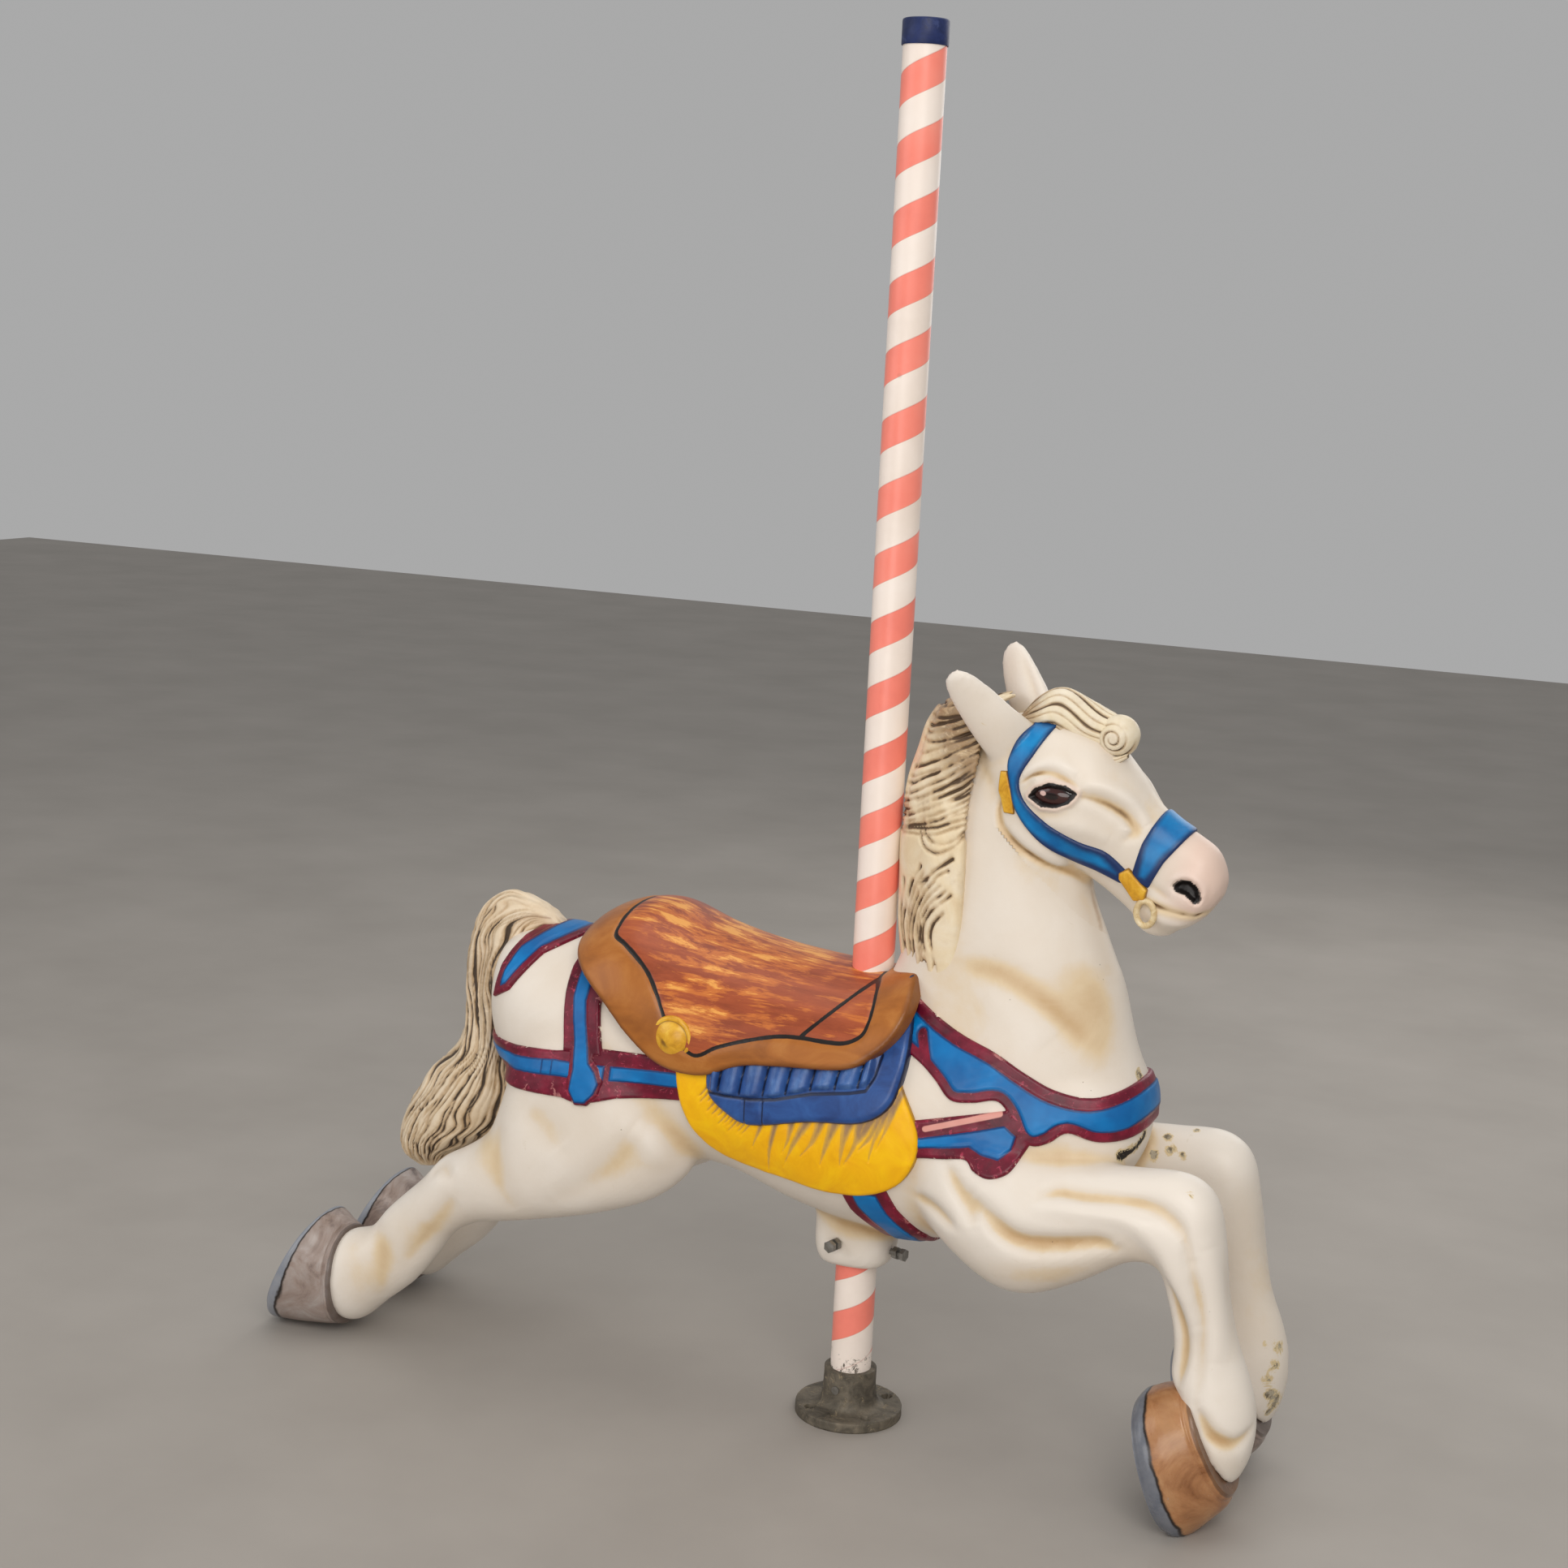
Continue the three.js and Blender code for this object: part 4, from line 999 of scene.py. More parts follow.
def hair_paint(name, pale, deep):
    p = Paint(name, rough=0.44, coat=0.12, coat_rough=0.3)
    colour = p.ramp(p.noise(24, 5, 0.65, 0.6), *zip((0.28, 0.5, 0.75), pale))
    dusk = p.both(p.mark("dusk"), p.step(p.noise(70, 4, 0.7, 0.6, (0.6, 1, 1.4)), 0.32, 0.52))
    colour = p.mix(p.both(dusk, 0.9), colour, "#857160")
    # Painted shade in the grooves between the locks, first ochre, then deep brown.
    dark = p.add((p.mark("dark"), 1.0), (p.noise(48, 4, 0.65), 0.7), (p.mark("dusk"), 0.3), -0.35)
    colour = p.over(colour, "#AE8C60", dark, -0.05, 0.42, 0.62)
    colour = p.over(colour, deep, dark, 0.36, 0.7, 0.94)
    return p.finish(colour, p.add(0.38, (p.noise(60, 3), 0.16)), p.noise(160, 4), 0.3, 0.0006)


def bridle_paint():
    p = Paint("bridle_paint", rough=0.36, coat=0.08, coat_rough=0.2)
    blue = p.ramp(p.noise(26, 4), (0.3, "#00609F"), (0.55, "#0478B8"), (0.8, "#1C92D0"))
    # Painted shade: the blue darkens towards the straps' edges and on their lower parts.
    edge = p.add((p.mark("depth"), 1.0), (p.noise(30, 5, 0.65), 7.0), (p.mark("low"), -6.5), -3.2)
    colour = p.over(blue, "#17305F", edge, 7.0, -1.0)
    return p.finish(colour, p.add(0.3, (p.noise(50, 3), 0.12)), p.noise(90, 3), 0.25, 0.0006)


def gold_paint():
    p = Paint("gold_paint", rough=0.32, coat=0.3, coat_rough=0.2)
    gold = p.ramp(p.noise(60, 5, 0.65, 0.8), (0.3, "#C48A1A"), (0.5, "#DFA528"), (0.72, "#EFC244"))
    # dark is painted shade: in the rosette's crescent and ring groove and along the gold pieces' edges.
    colour = p.over(gold, "#6E4513", p.mark("dark"), 0.2, 0.85, 0.8)
    return p.finish(colour, p.add(0.28, (p.noise(60, 3), 0.16)), p.noise(110, 4), 0.3, 0.0006)


def hoof_paint(name, tones, sole, rough):
    p = Paint(name, rough=rough, coat=0.3, coat_rough=0.15)
    colour = p.ramp(p.noise(18, 6, 0.65, 1.0), *zip((0.3, 0.5, 0.72), tones))
    colour = p.mix(p.both(p.noise(50, 2, 0.5, 0.4), 0.25), colour, "#2A211D")
    rim = p.add((p.mark("along"), 1.0), (p.noise(30, 4), 0.12), -0.06)
    colour = p.over(colour, "#241B17", rim, 0.60, 0.63)
    colour = p.over(colour, p.mix(p.noise(70, 4), *sole), rim, 0.635, 0.66)
    colour = p.over(colour, "#3A2D26", rim, 0.085, 0.05, 0.6)
    scrape = p.step(p.noise(60, 6, 0.75, 1.2), 0.66, 0.72)
    colour = p.mix(p.both(scrape, 0.6), colour, "#A9A5A0")
    return p.finish(colour, p.add(rough - 0.06, (p.noise(40, 4), 0.2)),
                    p.add((p.noise(80, 5), 0.7), (scrape, -0.6)), 0.4, 0.0008)


def eye_paint():
    p = Paint("eye_paint", rough=0.12, coat=0.6, coat_rough=0.05)
    colour = p.over("#100B0B", "#3C1A17", p.mark("iris"), 1.0, 0.72)
    colour = p.over(colour, "#1A0E0E", p.mark("iris"), 0.45, 0.3)
    colour = p.over(colour, "#D9B7AE", p.mark("glint"), 1.0, 0.75)
    return p.finish(colour, None, p.noise(120, 2), 0.05, 0.0004)


# The pole's stripe, in millimetres and shares of a turn: its pitch, where it starts, how much of
# it is pink; and the height, in metres, up to which the foot is all white.
POLE_PITCH = 74.54
POLE_START = 28.5
POLE_PINK = 0.487
POLE_FOOT_WHITE = 0.078


def pole_paint():
    p = Paint("pole_paint", rough=0.34, coat=0.15, coat_rough=0.25)
    x, y, z = p.node("ShaderNodeSeparateXYZ", {0: p.place}).outputs
    turn = p.math("DIVIDE", p.math("ARCTAN2", y, x), 2 * math.pi)
    rise = p.add((z, 1000 / POLE_PITCH), (p.noise(9, 2), 0.03), POLE_START / POLE_PITCH + 4)
    phase = p.math("FRACT", p.math("SUBTRACT", rise, turn))
    pink = p.both(p.step(phase, 0.0, 0.012), p.step(phase, POLE_PINK + 0.006, POLE_PINK - 0.006))
    pink = p.both(pink, p.step(z, POLE_FOOT_WHITE, POLE_FOOT_WHITE + 0.004))
    white = p.ramp(p.noise(6, 5, 0.6), (0.3, "#EADBCE"), (0.5, "#F6E9DE"), (0.75, "#FBF2EA"))
    rose = p.ramp(p.noise(8, 5, 0.6), (0.3, "#F08070"), (0.5, "#FC8C7A"), (0.75, "#FF9C8A"))
    colour = p.mix(pink, white, rose)
    seam = p.math("MINIMUM", p.math("ABSOLUTE", p.math("SUBTRACT", phase, POLE_PINK)), phase)
    colour = p.over(colour, "#B86A5C", seam, 0.02, 0.0, 0.35)
    low = p.step(z, 0.115, 0.06)
    dirt = p.add((low, 0.3), (p.noise(70, 6, 0.8, 0.6), 1.0), -0.2)
    colour = p.mix(p.both(p.step(dirt, 0.6, 0.68), p.step(low, 0.0, 0.2)), colour, "#5A5246")
    nick = p.both(p.step(p.cells(13), 0.05, 0.03), p.step(p.noise(5, 2), 0.5, 0.6))
    colour = p.mix(nick, colour, "#6F675C")
    return p.finish(colour, p.add(0.28, (p.noise(30, 4), 0.16), (low, 0.15)),
                    p.add((p.noise(40, 3), 0.5), (pink, 0.35), (nick, -1.0)), 0.25, 0.0006)


def plain_paint(name, tones, rough, metal=0.0, scale=40, wear=None, bump=0.3, coat=0.0):
    p = Paint(name, rough=rough, metal=metal, coat=coat)
    colour = p.ramp(p.noise(scale, 6, 0.7, 0.6), *zip((0.3, 0.5, 0.72), tones))
    height = p.add((p.noise(scale * 5, 4), 0.6), (p.noise(scale, 4), 0.8))
    if wear:
        worn = p.step(p.noise(scale * 1.7, 6, 0.75, 0.8), 0.56, 0.66)
        colour = p.mix(p.both(worn, 0.7), colour, wear)
        height = p.add((height, 1.0), (worn, -0.5))
    return p.finish(colour, p.add(rough - 0.08, (p.noise(scale * 2, 4), 0.2)), height, bump, 0.001)


# ---------------------------------------------------------------- showing a piece

def show(name, skin, material, nodes=("horse",), normals=None, sharp=None):
    """A skin as a Blender object that stands for CAD nodes and rides on the only body."""
    mesh = bpy.data.meshes.new(name)
    count = len(skin.faces)
    mesh.vertices.add(len(skin.points))
    mesh.vertices.foreach_set("co", (skin.points * MM).astype(np.float32).ravel())
    mesh.loops.add(count * 3)
    mesh.loops.foreach_set("vertex_index", skin.faces.astype(np.int32).ravel())
    mesh.polygons.add(count)
    mesh.polygons.foreach_set("loop_start", np.arange(count, dtype=np.int32) * 3)
    mesh.update(calc_edges=True)
    mesh.polygons.foreach_set("use_smooth", np.ones(count, bool))
    for mark, value in skin.marks.items():
        mesh.attributes.new(mark, "FLOAT", "POINT").data.foreach_set("value", value.astype(np.float32))
    if sharp:
        mesh.set_sharp_from_angle(angle=math.radians(sharp))
    if normals is not None:
        mesh.normals_split_custom_set_from_vertices(normals.tolist())
    mesh.materials.append(material)
    piece = bpy.data.objects.new(name, mesh)
    bpy.context.scene.collection.objects.link(piece)
    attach(piece, "root")
    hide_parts(*nodes)
    return piece


# ---------------------------------------------------------------- the pieces

# The marks of a skin that has no face on it.
NO_FACE = {"eye": -30.0, "nostril": -30.0, "mouth": 99.0, "muzzle": 0.0, "ink": 0.0}
REAR_END = -60


def make_horse():
    skin = carve_body(body_skin())
    head = in_head(skin.points[skin.faces].mean(1)) > 0
    body = skin.part(~head)
    face = carve_head(skin.part(head).halved())
    local = straight_head(face.points)
    face.marks["muzzle"] = climb(local[:, 0], 338, 378) * climb(local[:, 2], 655, 680)
    body.marks.update({name: np.full(len(body.points), value) for name, value in NO_FACE.items()})
    glaze_shade_and_wear(body)
    glaze_shade_and_wear(face)
    paint = horse_paint()
    seam = {tuple(np.round(point, 3)): normal for point, normal in zip(skin.points, skin.normals())}
    front = body.points[body.faces][:, :, 0].mean(1) > REAR_END
    for name, piece in (("horse_rear", body.part(~front)), ("horse_front", body.part(front)),
                        ("horse_head", face)):
        normals = piece.normals()
        for i in np.unique(piece.rim()):
            normals[i] = seam.get(tuple(np.round(piece.points[i], 3)), normals[i])
        show(name, piece, paint, normals=normals)
    return skin, face


HOOF_FARTHEST = 150.8
HOOF_LIP = {"depth": 1.6, "at": 0.16, "width": 0.03}


def make_hooves():
    grey = hoof_paint("hoof_grey", ("#5F4C44", "#A08E84", "#B9AFA9"), ("#78808E", "#9A9A9C"), 0.38)
    copper = hoof_paint("hoof_copper", ("#84532F", "#B27D52", "#CB9C6E"), ("#4F5664", "#85868A"), 0.26)
    for name, sections, paint in (("hoof_hind", HIND_HOOF, grey), ("hoof_fore", FORE_HOOF, copper)):
        skin = loft(sections, **NETS["hoof"])
        along, around = skin.marks["along"], skin.marks["around"]
        lip = HOOF_LIP["depth"] * bell(along - HOOF_LIP["at"], HOOF_LIP["width"])
        skin.push(0.35 * wobble(np.stack([along * 40, around], 1), 6, 3) - lip)
        skin.points = np.maximum(skin.points, (-np.inf, -HOOF_FARTHEST, 0))
        show(name + "_near", skin, paint, sharp=50)
        show(name + "_far", skin.mirrored(), grey, sharp=50)


# The mane's front edge and the start of its back edge: heights, and x at each of them.
EDGE_X = ([520, 577, 596, 649, 697, 738, 771, 784, 830, 880],
          [107, 109, 119, 118, 117, 116, 122, 126, 130, 135])
BACK_X = ([500, 547, 600, 700, 749, 798, 824, 849, 880], [60, 60, 20, 15, 35, 55, 62, 66, 75])
# How far the upper locks drop on their way back: heights, and the drop at each of them.
LOCK_DROP = ([725, 750, 780, 815, 850, 884], [18, 38, 58, 66, 40, 24])
LOCK_TOP, LOCK_STEP = 884, 7.6
U_LOCK = [(58, 724), (66, 708), (88, 703), (106, 711), (116, 724)]
SHORT_LOCKS = ([(112, 700), (92, 686), (70, 664)], [(106, 686), (94, 678), (84, 664)],
               [(104, 640), (92, 622), (90, 600), (96, 572)],
               [(44, 664), (40, 610), (50, 570), (64, 536)])


def mane_lines():
    """Side-view lines between the mane's locks: (points, strength). The upper fall sweeps from the
    neck down to the pole; the lower one starts under it and runs to the tip."""
    lines = []
    for i in range(-4, 20):
        top = LOCK_TOP - LOCK_STEP * i
        foot = top - float(np.interp(top, *LOCK_DROP)) - 3 * math.sin(i * 1.3)
        right = float(np.interp(top, *EDGE_X)) + 6
        left = float(np.interp(foot, *BACK_X)) - 8
        sag = 3 + 3 * math.sin(i * 2.1)
        line = [(right, top)]
        for t, hang in ((0.33, sag), (0.68, sag * 0.6)):
            line.append((right * (1 - t) + left * t, top * (1 - t) + foot * t - hang))
        lines.append((smooth(line + [(left, foot + 2)], 5), (1.0, 0.6, 0.85, 0.5)[i % 4]))
    for right, up in ((6, 2), (10, 13)):
        lines.append((smooth([(x + right, z + up) for x, z in U_LOCK], 5), 0.65))
    for j in range(7):
        s = j / 6
        sway = 2 * math.sin(j * 1.9)
        line = [(70 + 42 * s, 686 - 26 * s), (52 + 34 * s, 648 - 14 * s), (46 + 34 * s + sway, 608),
                (54 + 32 * s + sway, 566), (68 + 16 * s, 518)]
        lines.append((smooth(line, 7), (1.0, 0.55, 0.8)[j % 3]))
    return lines + [(smooth(line, 5), 1.0) for line in SHORT_LOCKS]


MANE_DUSK = [(70, 868), (96, 846), (122, 812), (134, 796)]


MANE_GROOVE = {"width": 2.0, "rise": 1.2, "depth": 3.6}
FAR_MANE_REACH = 0.62


def make_mane():
    paint = hair_paint("mane_paint", ("#E4CDA6", "#ECDAB8", "#F0E3CB"), "#4E3A28")
    lines = mane_lines()
    for name, reach in (("mane_near", 1.0), ("mane_far", FAR_MANE_REACH)):
        skin = loft(mane_sections(reach), **NETS[name])
        drift = np.stack([wobble(skin.points, 55, 1), wobble(skin.points, 55, 2)], 1)
        flat = skin.points[:, [0, 2]] + drift * 1.4
        groove = np.max([strength * bell(line_distance(flat, line), MANE_GROOVE["width"])
                         for line, strength in lines], axis=0)
        groove *= np.clip(0.72 + wobble(skin.points, 34, 6) * 0.9, 0.12, 1)
        skin.push(np.clip(1 - groove, 0, 1) * MANE_GROOVE["rise"] - groove * MANE_GROOVE["depth"])
        skin.marks["dark"] = groove
        skin.marks["dusk"] = bell(line_distance(flat, MANE_DUSK), 26)
        show(name, skin if reach == 1 else skin.mirrored(), paint)


# Three families of grooves: how many round the tail, width, strength, slide along it, and seed.
TAIL_GROOVES = ((16, 0.5, 1.0, 1.6, 7), (27, 0.6, 0.9, 0.9, 3), (46, 0.6, 0.6, -0.5, 9))


def make_tail():
    paint = hair_paint("tail_paint", ("#D8C09E", "#E4D1B4", "#ECDDC6"), "#382B22")
    skin = loft(TAIL, **NETS["tail"])
    along, around = skin.marks["along"], skin.marks["around"]
    place = np.stack([along * 420, np.cos(around) * 60, np.sin(around) * 60], 1)
    drift = wobble(place, 150, 5) * 0.55
    groove = np.zeros(len(along))
    for count, width, strength, slide, seed in TAIL_GROOVES:
        phase = (around * count / 2 + drift * count / 3 + slide * along * 3
                 + wobble(place, 60, seed) * 0.7)
        broken = np.clip(0.85 + wobble(place, 80, seed + 20) * 0.7, 0.15, 1)
        groove = np.maximum(groove, strength * broken * valley(phase, width))
    groove *= climb(along, 0.04, 0.16) * climb(along, 1, 0.96)
    skin.push(0.8 - groove * 5.0)
    skin.marks["dark"] = groove
    skin.marks["dusk"] = np.clip(1 - np.abs(along - 0.34) / 0.16, 0, 1) * 0.4
    show("tail", skin, paint)


# The wisp over the brow: x, y, z and half width of its sections.
FORELOCK_WISP = [(206, -18, 862, 6), (226, -21, 850, 8), (243, -22, 838, 7.5), (260, -20, 830, 6),
                 (278, -16, 828, 5), (292, -12, 834, 3)]
CURL = {"centre": (278, -4, 853), "radius": 23, "turns": 0.85, "depth": 3.4}


def show_hair(name, skin, paint, dark, dusk):
    skin.points = turned_head(skin.points)
    skin.marks.update(dark=dark, dusk=dusk)
    show(name, skin, paint)


def make_forelock():
    paint = hair_paint("forelock_paint", ("#E0CFAA", "#E6D9BE", "#ECE2D0"), "#5E4933")
    skin = loft(FORELOCK, **NETS["forelock"])
    along, around = skin.marks["along"], skin.marks["around"]
    wave = 1.6 * along + 0.5 * np.sin(along * 9)
    groove = np.maximum(valley(around * 3.5 + wave, 0.42), valley(around * 8 + wave * 2 + 1, 0.5) * 0.5)
    groove *= climb(along, 0, 0.06)
    show_hair("forelock", skin.push(-groove * 3.2), paint, groove, np.clip(1.25 - along * 3.2, 0, 1))
    make_curl(paint)
    make_wisp(paint)


def make_curl(paint):
    curl = ball(CURL["centre"], [CURL["radius"]] * 3, rings=60, sides=90)
    x, _, z = (curl.points - CURL["centre"]).T
    radius = np.hypot(x, z)
    swirl = valley((radius * CURL["turns"] - np.arctan2(z, x)) / 2, 0.6)
    # The swirl's grooves and their painted shade fade towards the upper right, where the ball takes the
    # light.
    swirl *= climb(radius, 3, 6) * np.clip(0.95 - (x + z) / 26, 0, 1)
    show_hair("forelock_curl", curl.push(-swirl * CURL["depth"]), paint, swirl, np.zeros(len(x)))


def make_wisp(paint):
    wisp = loft([([x, y, z], [0, 0, size], [0, size * 1.2, 0]) for x, y, z, size in FORELOCK_WISP],
                **NETS["wisp"])
    show_hair("forelock_wisp", wisp, paint, valley(wisp.marks["around"] * 2.5, 0.4),
              np.clip(0.6 - wisp.marks["along"] * 1.5, 0, 1))


EYE_PLACE = (220, -73, 785)
EYE_RADII = (28, 10.5, 14)
EYE_SUNK = 9.5
IRIS_RADII = (22, 10.5)
GLINT = {"at": (-9.5, 2.0), "radii": (4.2, 3.2)}


def make_eyes():
    paint = eye_paint()
    centre = straight_head([EYE_PLACE])[0] + (0, EYE_SUNK, 0)
    for name, side in (("eye_near", 1), ("eye_far", -1)):
        middle = centre * (1, side, 1)
        skin = ball(middle, EYE_RADII, rings=40, sides=56)
        flat = (skin.points - middle)[:, [0, 2]]
        skin.marks["iris"] = np.linalg.norm(flat / IRIS_RADII, axis=1)
        skin.marks["glint"] = np.linalg.norm((flat - GLINT["at"]) / GLINT["radii"], axis=1)
        skin.points = turned_head(skin.points)
        show(name, skin, paint)


SEAT_LINE = np.vstack([smooth([(-292, 583), (-291, 572), (-288, 563), (-269, 556), (-248, 544),
                               (-230, 529), (-215, 509), (-207, 495), (-190, 468), (-161, 449),
                               (-133, 463), (-101, 475), (-65, 485), (-36, 488), (-5, 488),
                               (18, 490), (35, 500), (39, 514), (37, 528), (30, 541), (22, 546)]),
                       [(22, 640), (-292, 640)]])
FOLD_LINE = [(-36, -125, 488), (-14, -107, 511), (5, -77, 530), (23, -32, 546)]
ROSETTE = (-191, -129, 464)


def side_of(points, line):
    """Signed side-view distance from a line, and how far past its ends a point lies (0 to 1)."""
    flat = points[:, [0, 2]]
    line = np.asarray(line, float)[:, [0, 2]]
    best = np.full(len(flat), FAR)
    signed = np.zeros(len(flat))
    for a, b in zip(line[:-1], line[1:]):
        way = (b - a) / np.linalg.norm(b - a)
        away = to_segment(flat, a, b)[0]
        across = way[0] * (flat[:, 1] - a[1]) - way[1] * (flat[:, 0] - a[0])
        signed = np.where(away < best, across, signed)
        best = np.minimum(best, away)
    return signed, climb(best - np.abs(signed), 0, 4)


def make_saddle():
    skin = patch(loft(SEAT, **NETS["seat"]), lambda p: outline_depth(p, FLAP), (0, 1, 2.5, 5),
                 lambda d, p: rounded(d, 4, 6) - 4, sink=18, fine=0)
    seat = outline_depth(skin.points, SEAT_LINE)
    skin.marks["seat"] = seat
    skin.marks["fold"], skin.marks["fold_end"] = side_of(skin.points, FOLD_LINE)
    skin.marks["low"] = climb(skin.points[:, 2], 470, 550)
    fold = strokes(folded(skin.points), [(FOLD_LINE, 3.0, -1.6)])
    skin.push(fold - 1.6 * bell(seat, 2.6) + 1.2 * climb(seat, 0, -6))
    show("saddle", skin, saddle_paint(), sharp=60)


ROSETTE_PROFILE = [(0.01, -6), (26, -6), (26, 2), (25.2, 4.2), (23.5, 5.2), (21.5, 5.0), (20.4, 4.4),
                   (19.5, 5.2), (15, 8.0), (9, 9.8), (4, 10.6), (0.01, 10.8)]
ROSETTE_RIM = 20.4


def make_rosettes():
    """A domed button with a carved crescent and a ring groove, both darkened with painted shade, one on each
    side.
    """
    paint = gold_paint()
    skin = lathe(ROSETTE_PROFILE)
    flat = skin.points[:, :2]
    hollow = np.linalg.norm((flat - (-3, -5)) / (8, 10), axis=1)
    cover = np.linalg.norm((flat - (1.5, -1.5)) / (7.5, 9), axis=1)
    crescent = np.clip(2.2 - 2 * hollow, 0, 1) * np.clip(cover * 2 - 1.4, 0, 1)
    rim = bell(np.linalg.norm(flat, axis=1) - ROSETTE_RIM, 1.2)
    skin.points[:, 2] -= crescent * 1.6
    skin.marks["dark"] = np.maximum(crescent, rim * 0.7)
    x, y, z = ROSETTE
    for name, side in (("rosette_near", 1), ("rosette_far", -1)):
        twin = skin.copy()
        right, up, out = twin.points.T
        twin.points = np.stack([x + right, side * (y - out), z + up], 1)
        show(name, facing_out(twin), paint)


# The lower edge of the blanket's roll, and where the lines between its ribs cross it.
ROLL_LOW = [(-150, 408), (-121, 407), (-88, 409), (-59, 414), (-15, 428), (30, 436), (48, 441),
            (56, 456), (60, 480)]
RIB_LINES = (-141, -127, -100, -71, -44, -16, 12, 38, 54)


SEAMS = (-96, -73)


def rib_marks(points):
    """How far each point is up a rib of the blanket's roll (0 to 1), and how deep in a line, carved in and
    painted as shade.
    """
    x, z = points[:, 0], points[:, 2]
    low = np.interp(x, *np.array(ROLL_LOW).T)
    inside = climb(z, low, low + 5) * climb(x, RIB_LINES[-1], 50) * climb(x, RIB_LINES[0], -137)
    lean = x - (z - 440) * 0.12
    rib = np.zeros(len(x))
    dark = bell(line_distance(points[:, [0, 2]], ROLL_LOW), 2.4)
    for a, b in zip(RIB_LINES[:-1], RIB_LINES[1:]):
        share = (lean - a) / (b - a)
        rib += np.where((share > 0) & (share < 1), 1 - np.abs(2 * share - 1) ** 2.2, 0)
        dark = np.maximum(dark, bell(lean - a, 2.2) * inside)
    for seam in SEAMS:
        dark = np.maximum(dark, bell(x - seam, 1.6) * (z < low) * 0.9)
    return rib * inside, dark


def make_blanket(skin):
    def lift(depth, points):
        under = climb(outline_depth(points, FLAP), 0, 10)
        rib, dark = rib_marks(points)
        return rounded(depth, 14, 9) - 9 * under + (rib * 5.5 - dark * 1.8) * (1 - under)

    piece = patch(skin, lambda p: outline_depth(p, BLANKET), (0, 1, 3, 6), lift)
    rib, dark = rib_marks(piece.points)
    # dark adds painted shade along the blanket's edge.
    piece.marks.update(rib=rib, dark=np.maximum(dark, bell(piece.marks["depth"] - 1.0, 1.6)))
    show("blanket", piece, blanket_paint(), sharp=60)


BLANKET_EDGE = [(-150, 412), (-122, 384), (-88, 376), (-18, 391), (44, 401), (76, 423), (90, 455)]


def cloth_folds():
    """Smeared folds hanging from the blanket's lower edge: (line, half width at its top)."""
    folds = []
    for i in range(13):
        length = 10 + 4 * math.sin(i * 2.3)
        folds.append((0.02 + 0.025 * i, length, -0.35 * length, -0.8 * length, 0.9))
    for i in range(15):
        length = 26 + 30 * abs(math.sin(i * 1.7))
        lean = (-0.34 + 0.2 * math.sin(i * 1.3)) * length
        width = 2.6 + 3.4 * abs(math.sin(i * 2.9))
        folds.append((0.36 + 0.043 * i, length, lean * 0.4 + 3 * math.sin(i * 3.7), lean, width))
    lines = []
    for along, length, half_way, end, width in folds:
        x, z = catmull(BLANKET_EDGE, [along], clamped=True)[0]
        line = [(x + 3, z + 4), (x + half_way, z - length * 0.5), (x + end, z - length)]
        lines.append((smooth(line, 4), width))
    return lines


def make_cloth(skin):
    folds = cloth_folds()

    def fold(points):
        flat = points[:, [0, 2]]
        total = np.zeros(len(points))
        for line, top in folds:
            drop = climb(flat[:, 1], line[-1, 1], line[0, 1])
            near = bell(line_distance(flat, line), 0.8 + top * drop)
            total = np.maximum(total, near * (0.45 + 0.55 * drop))
        return total

    piece = patch(skin, lambda p: outline_depth(p, CLOTH), (0, 1, 3, 5),
                  lambda d, p: rounded(d, 8.5, 6) - 2.4 * fold(p) * climb(d, 0, 6)
                  + wobble(p, 45, 11) * 0.8)
    piece.marks["fold"] = fold(piece.points)
    show("saddle_cloth", piece, cloth_paint(), sharp=60)


SHOULDER_BLUE = [(90, 396), (111, 396), (175, 413), (204, 422), (217, 412), (214, 396), (203, 386),
                 (183, 389), (169, 395), (111, 384), (90, 384)]
HIP_BLUE = [(-500, 404), (-403, 406), (-339, 416), (-271, 417), (-180, 421), (-180, 403),
            (-264, 400), (-336, 397), (-398, 390), (-500, 386)]
CROUP_BLUE = [(-306, 371), (-315, 384), (-313, 408), (-317, 440), (-329, 486), (-331, 513), (-326, 545),
              (-322, 610), (-304, 610), (-308, 545), (-312, 513), (-311, 486), (-299, 440),
              (-294, 418), (-285, 409), (-279, 396), (-283, 384), (-293, 372)]
# A painted highlight: a pale pink line along the shoulder strap's upper edge.
PINK_HIGHLIGHT_LINE = [(117, 407), (197, 434)]


# Each strap: its outlines, its blue field, outlines whose inside is blue from some way in, how high
# it stands, and lines across that stay maroon, with their half width.
STRAPS = {
    "chest_straps": {"outlines": (COLLAR, SHOULDER_STRAP), "blues": (SHOULDER_BLUE,),
                     "insets": ((COLLAR, 11.5),), "gaps": (([(96, 505), (120, 450)], 5),)},
    "hip_strap": {"outlines": (HIP_STRAP, CRUPPER), "blues": (HIP_BLUE,), "insets": ((CRUPPER, 9),),
                  "gaps": (([(-356, 380), (-356, 430)], -0.8), ([(-342, 380), (-342, 430)], -0.8),
                           ([(-272, 380), (-272, 440)], 3))},
    "croup_strap": {"outlines": (CROUP_STRAP, CROUP_TONGUE), "blues": (CROUP_BLUE,), "height": 6.4},
    "girth_strap": {"outlines": (GIRTH,), "insets": ((GIRTH, 12.5),)},
}
STRAP_HEIGHT = 4.6


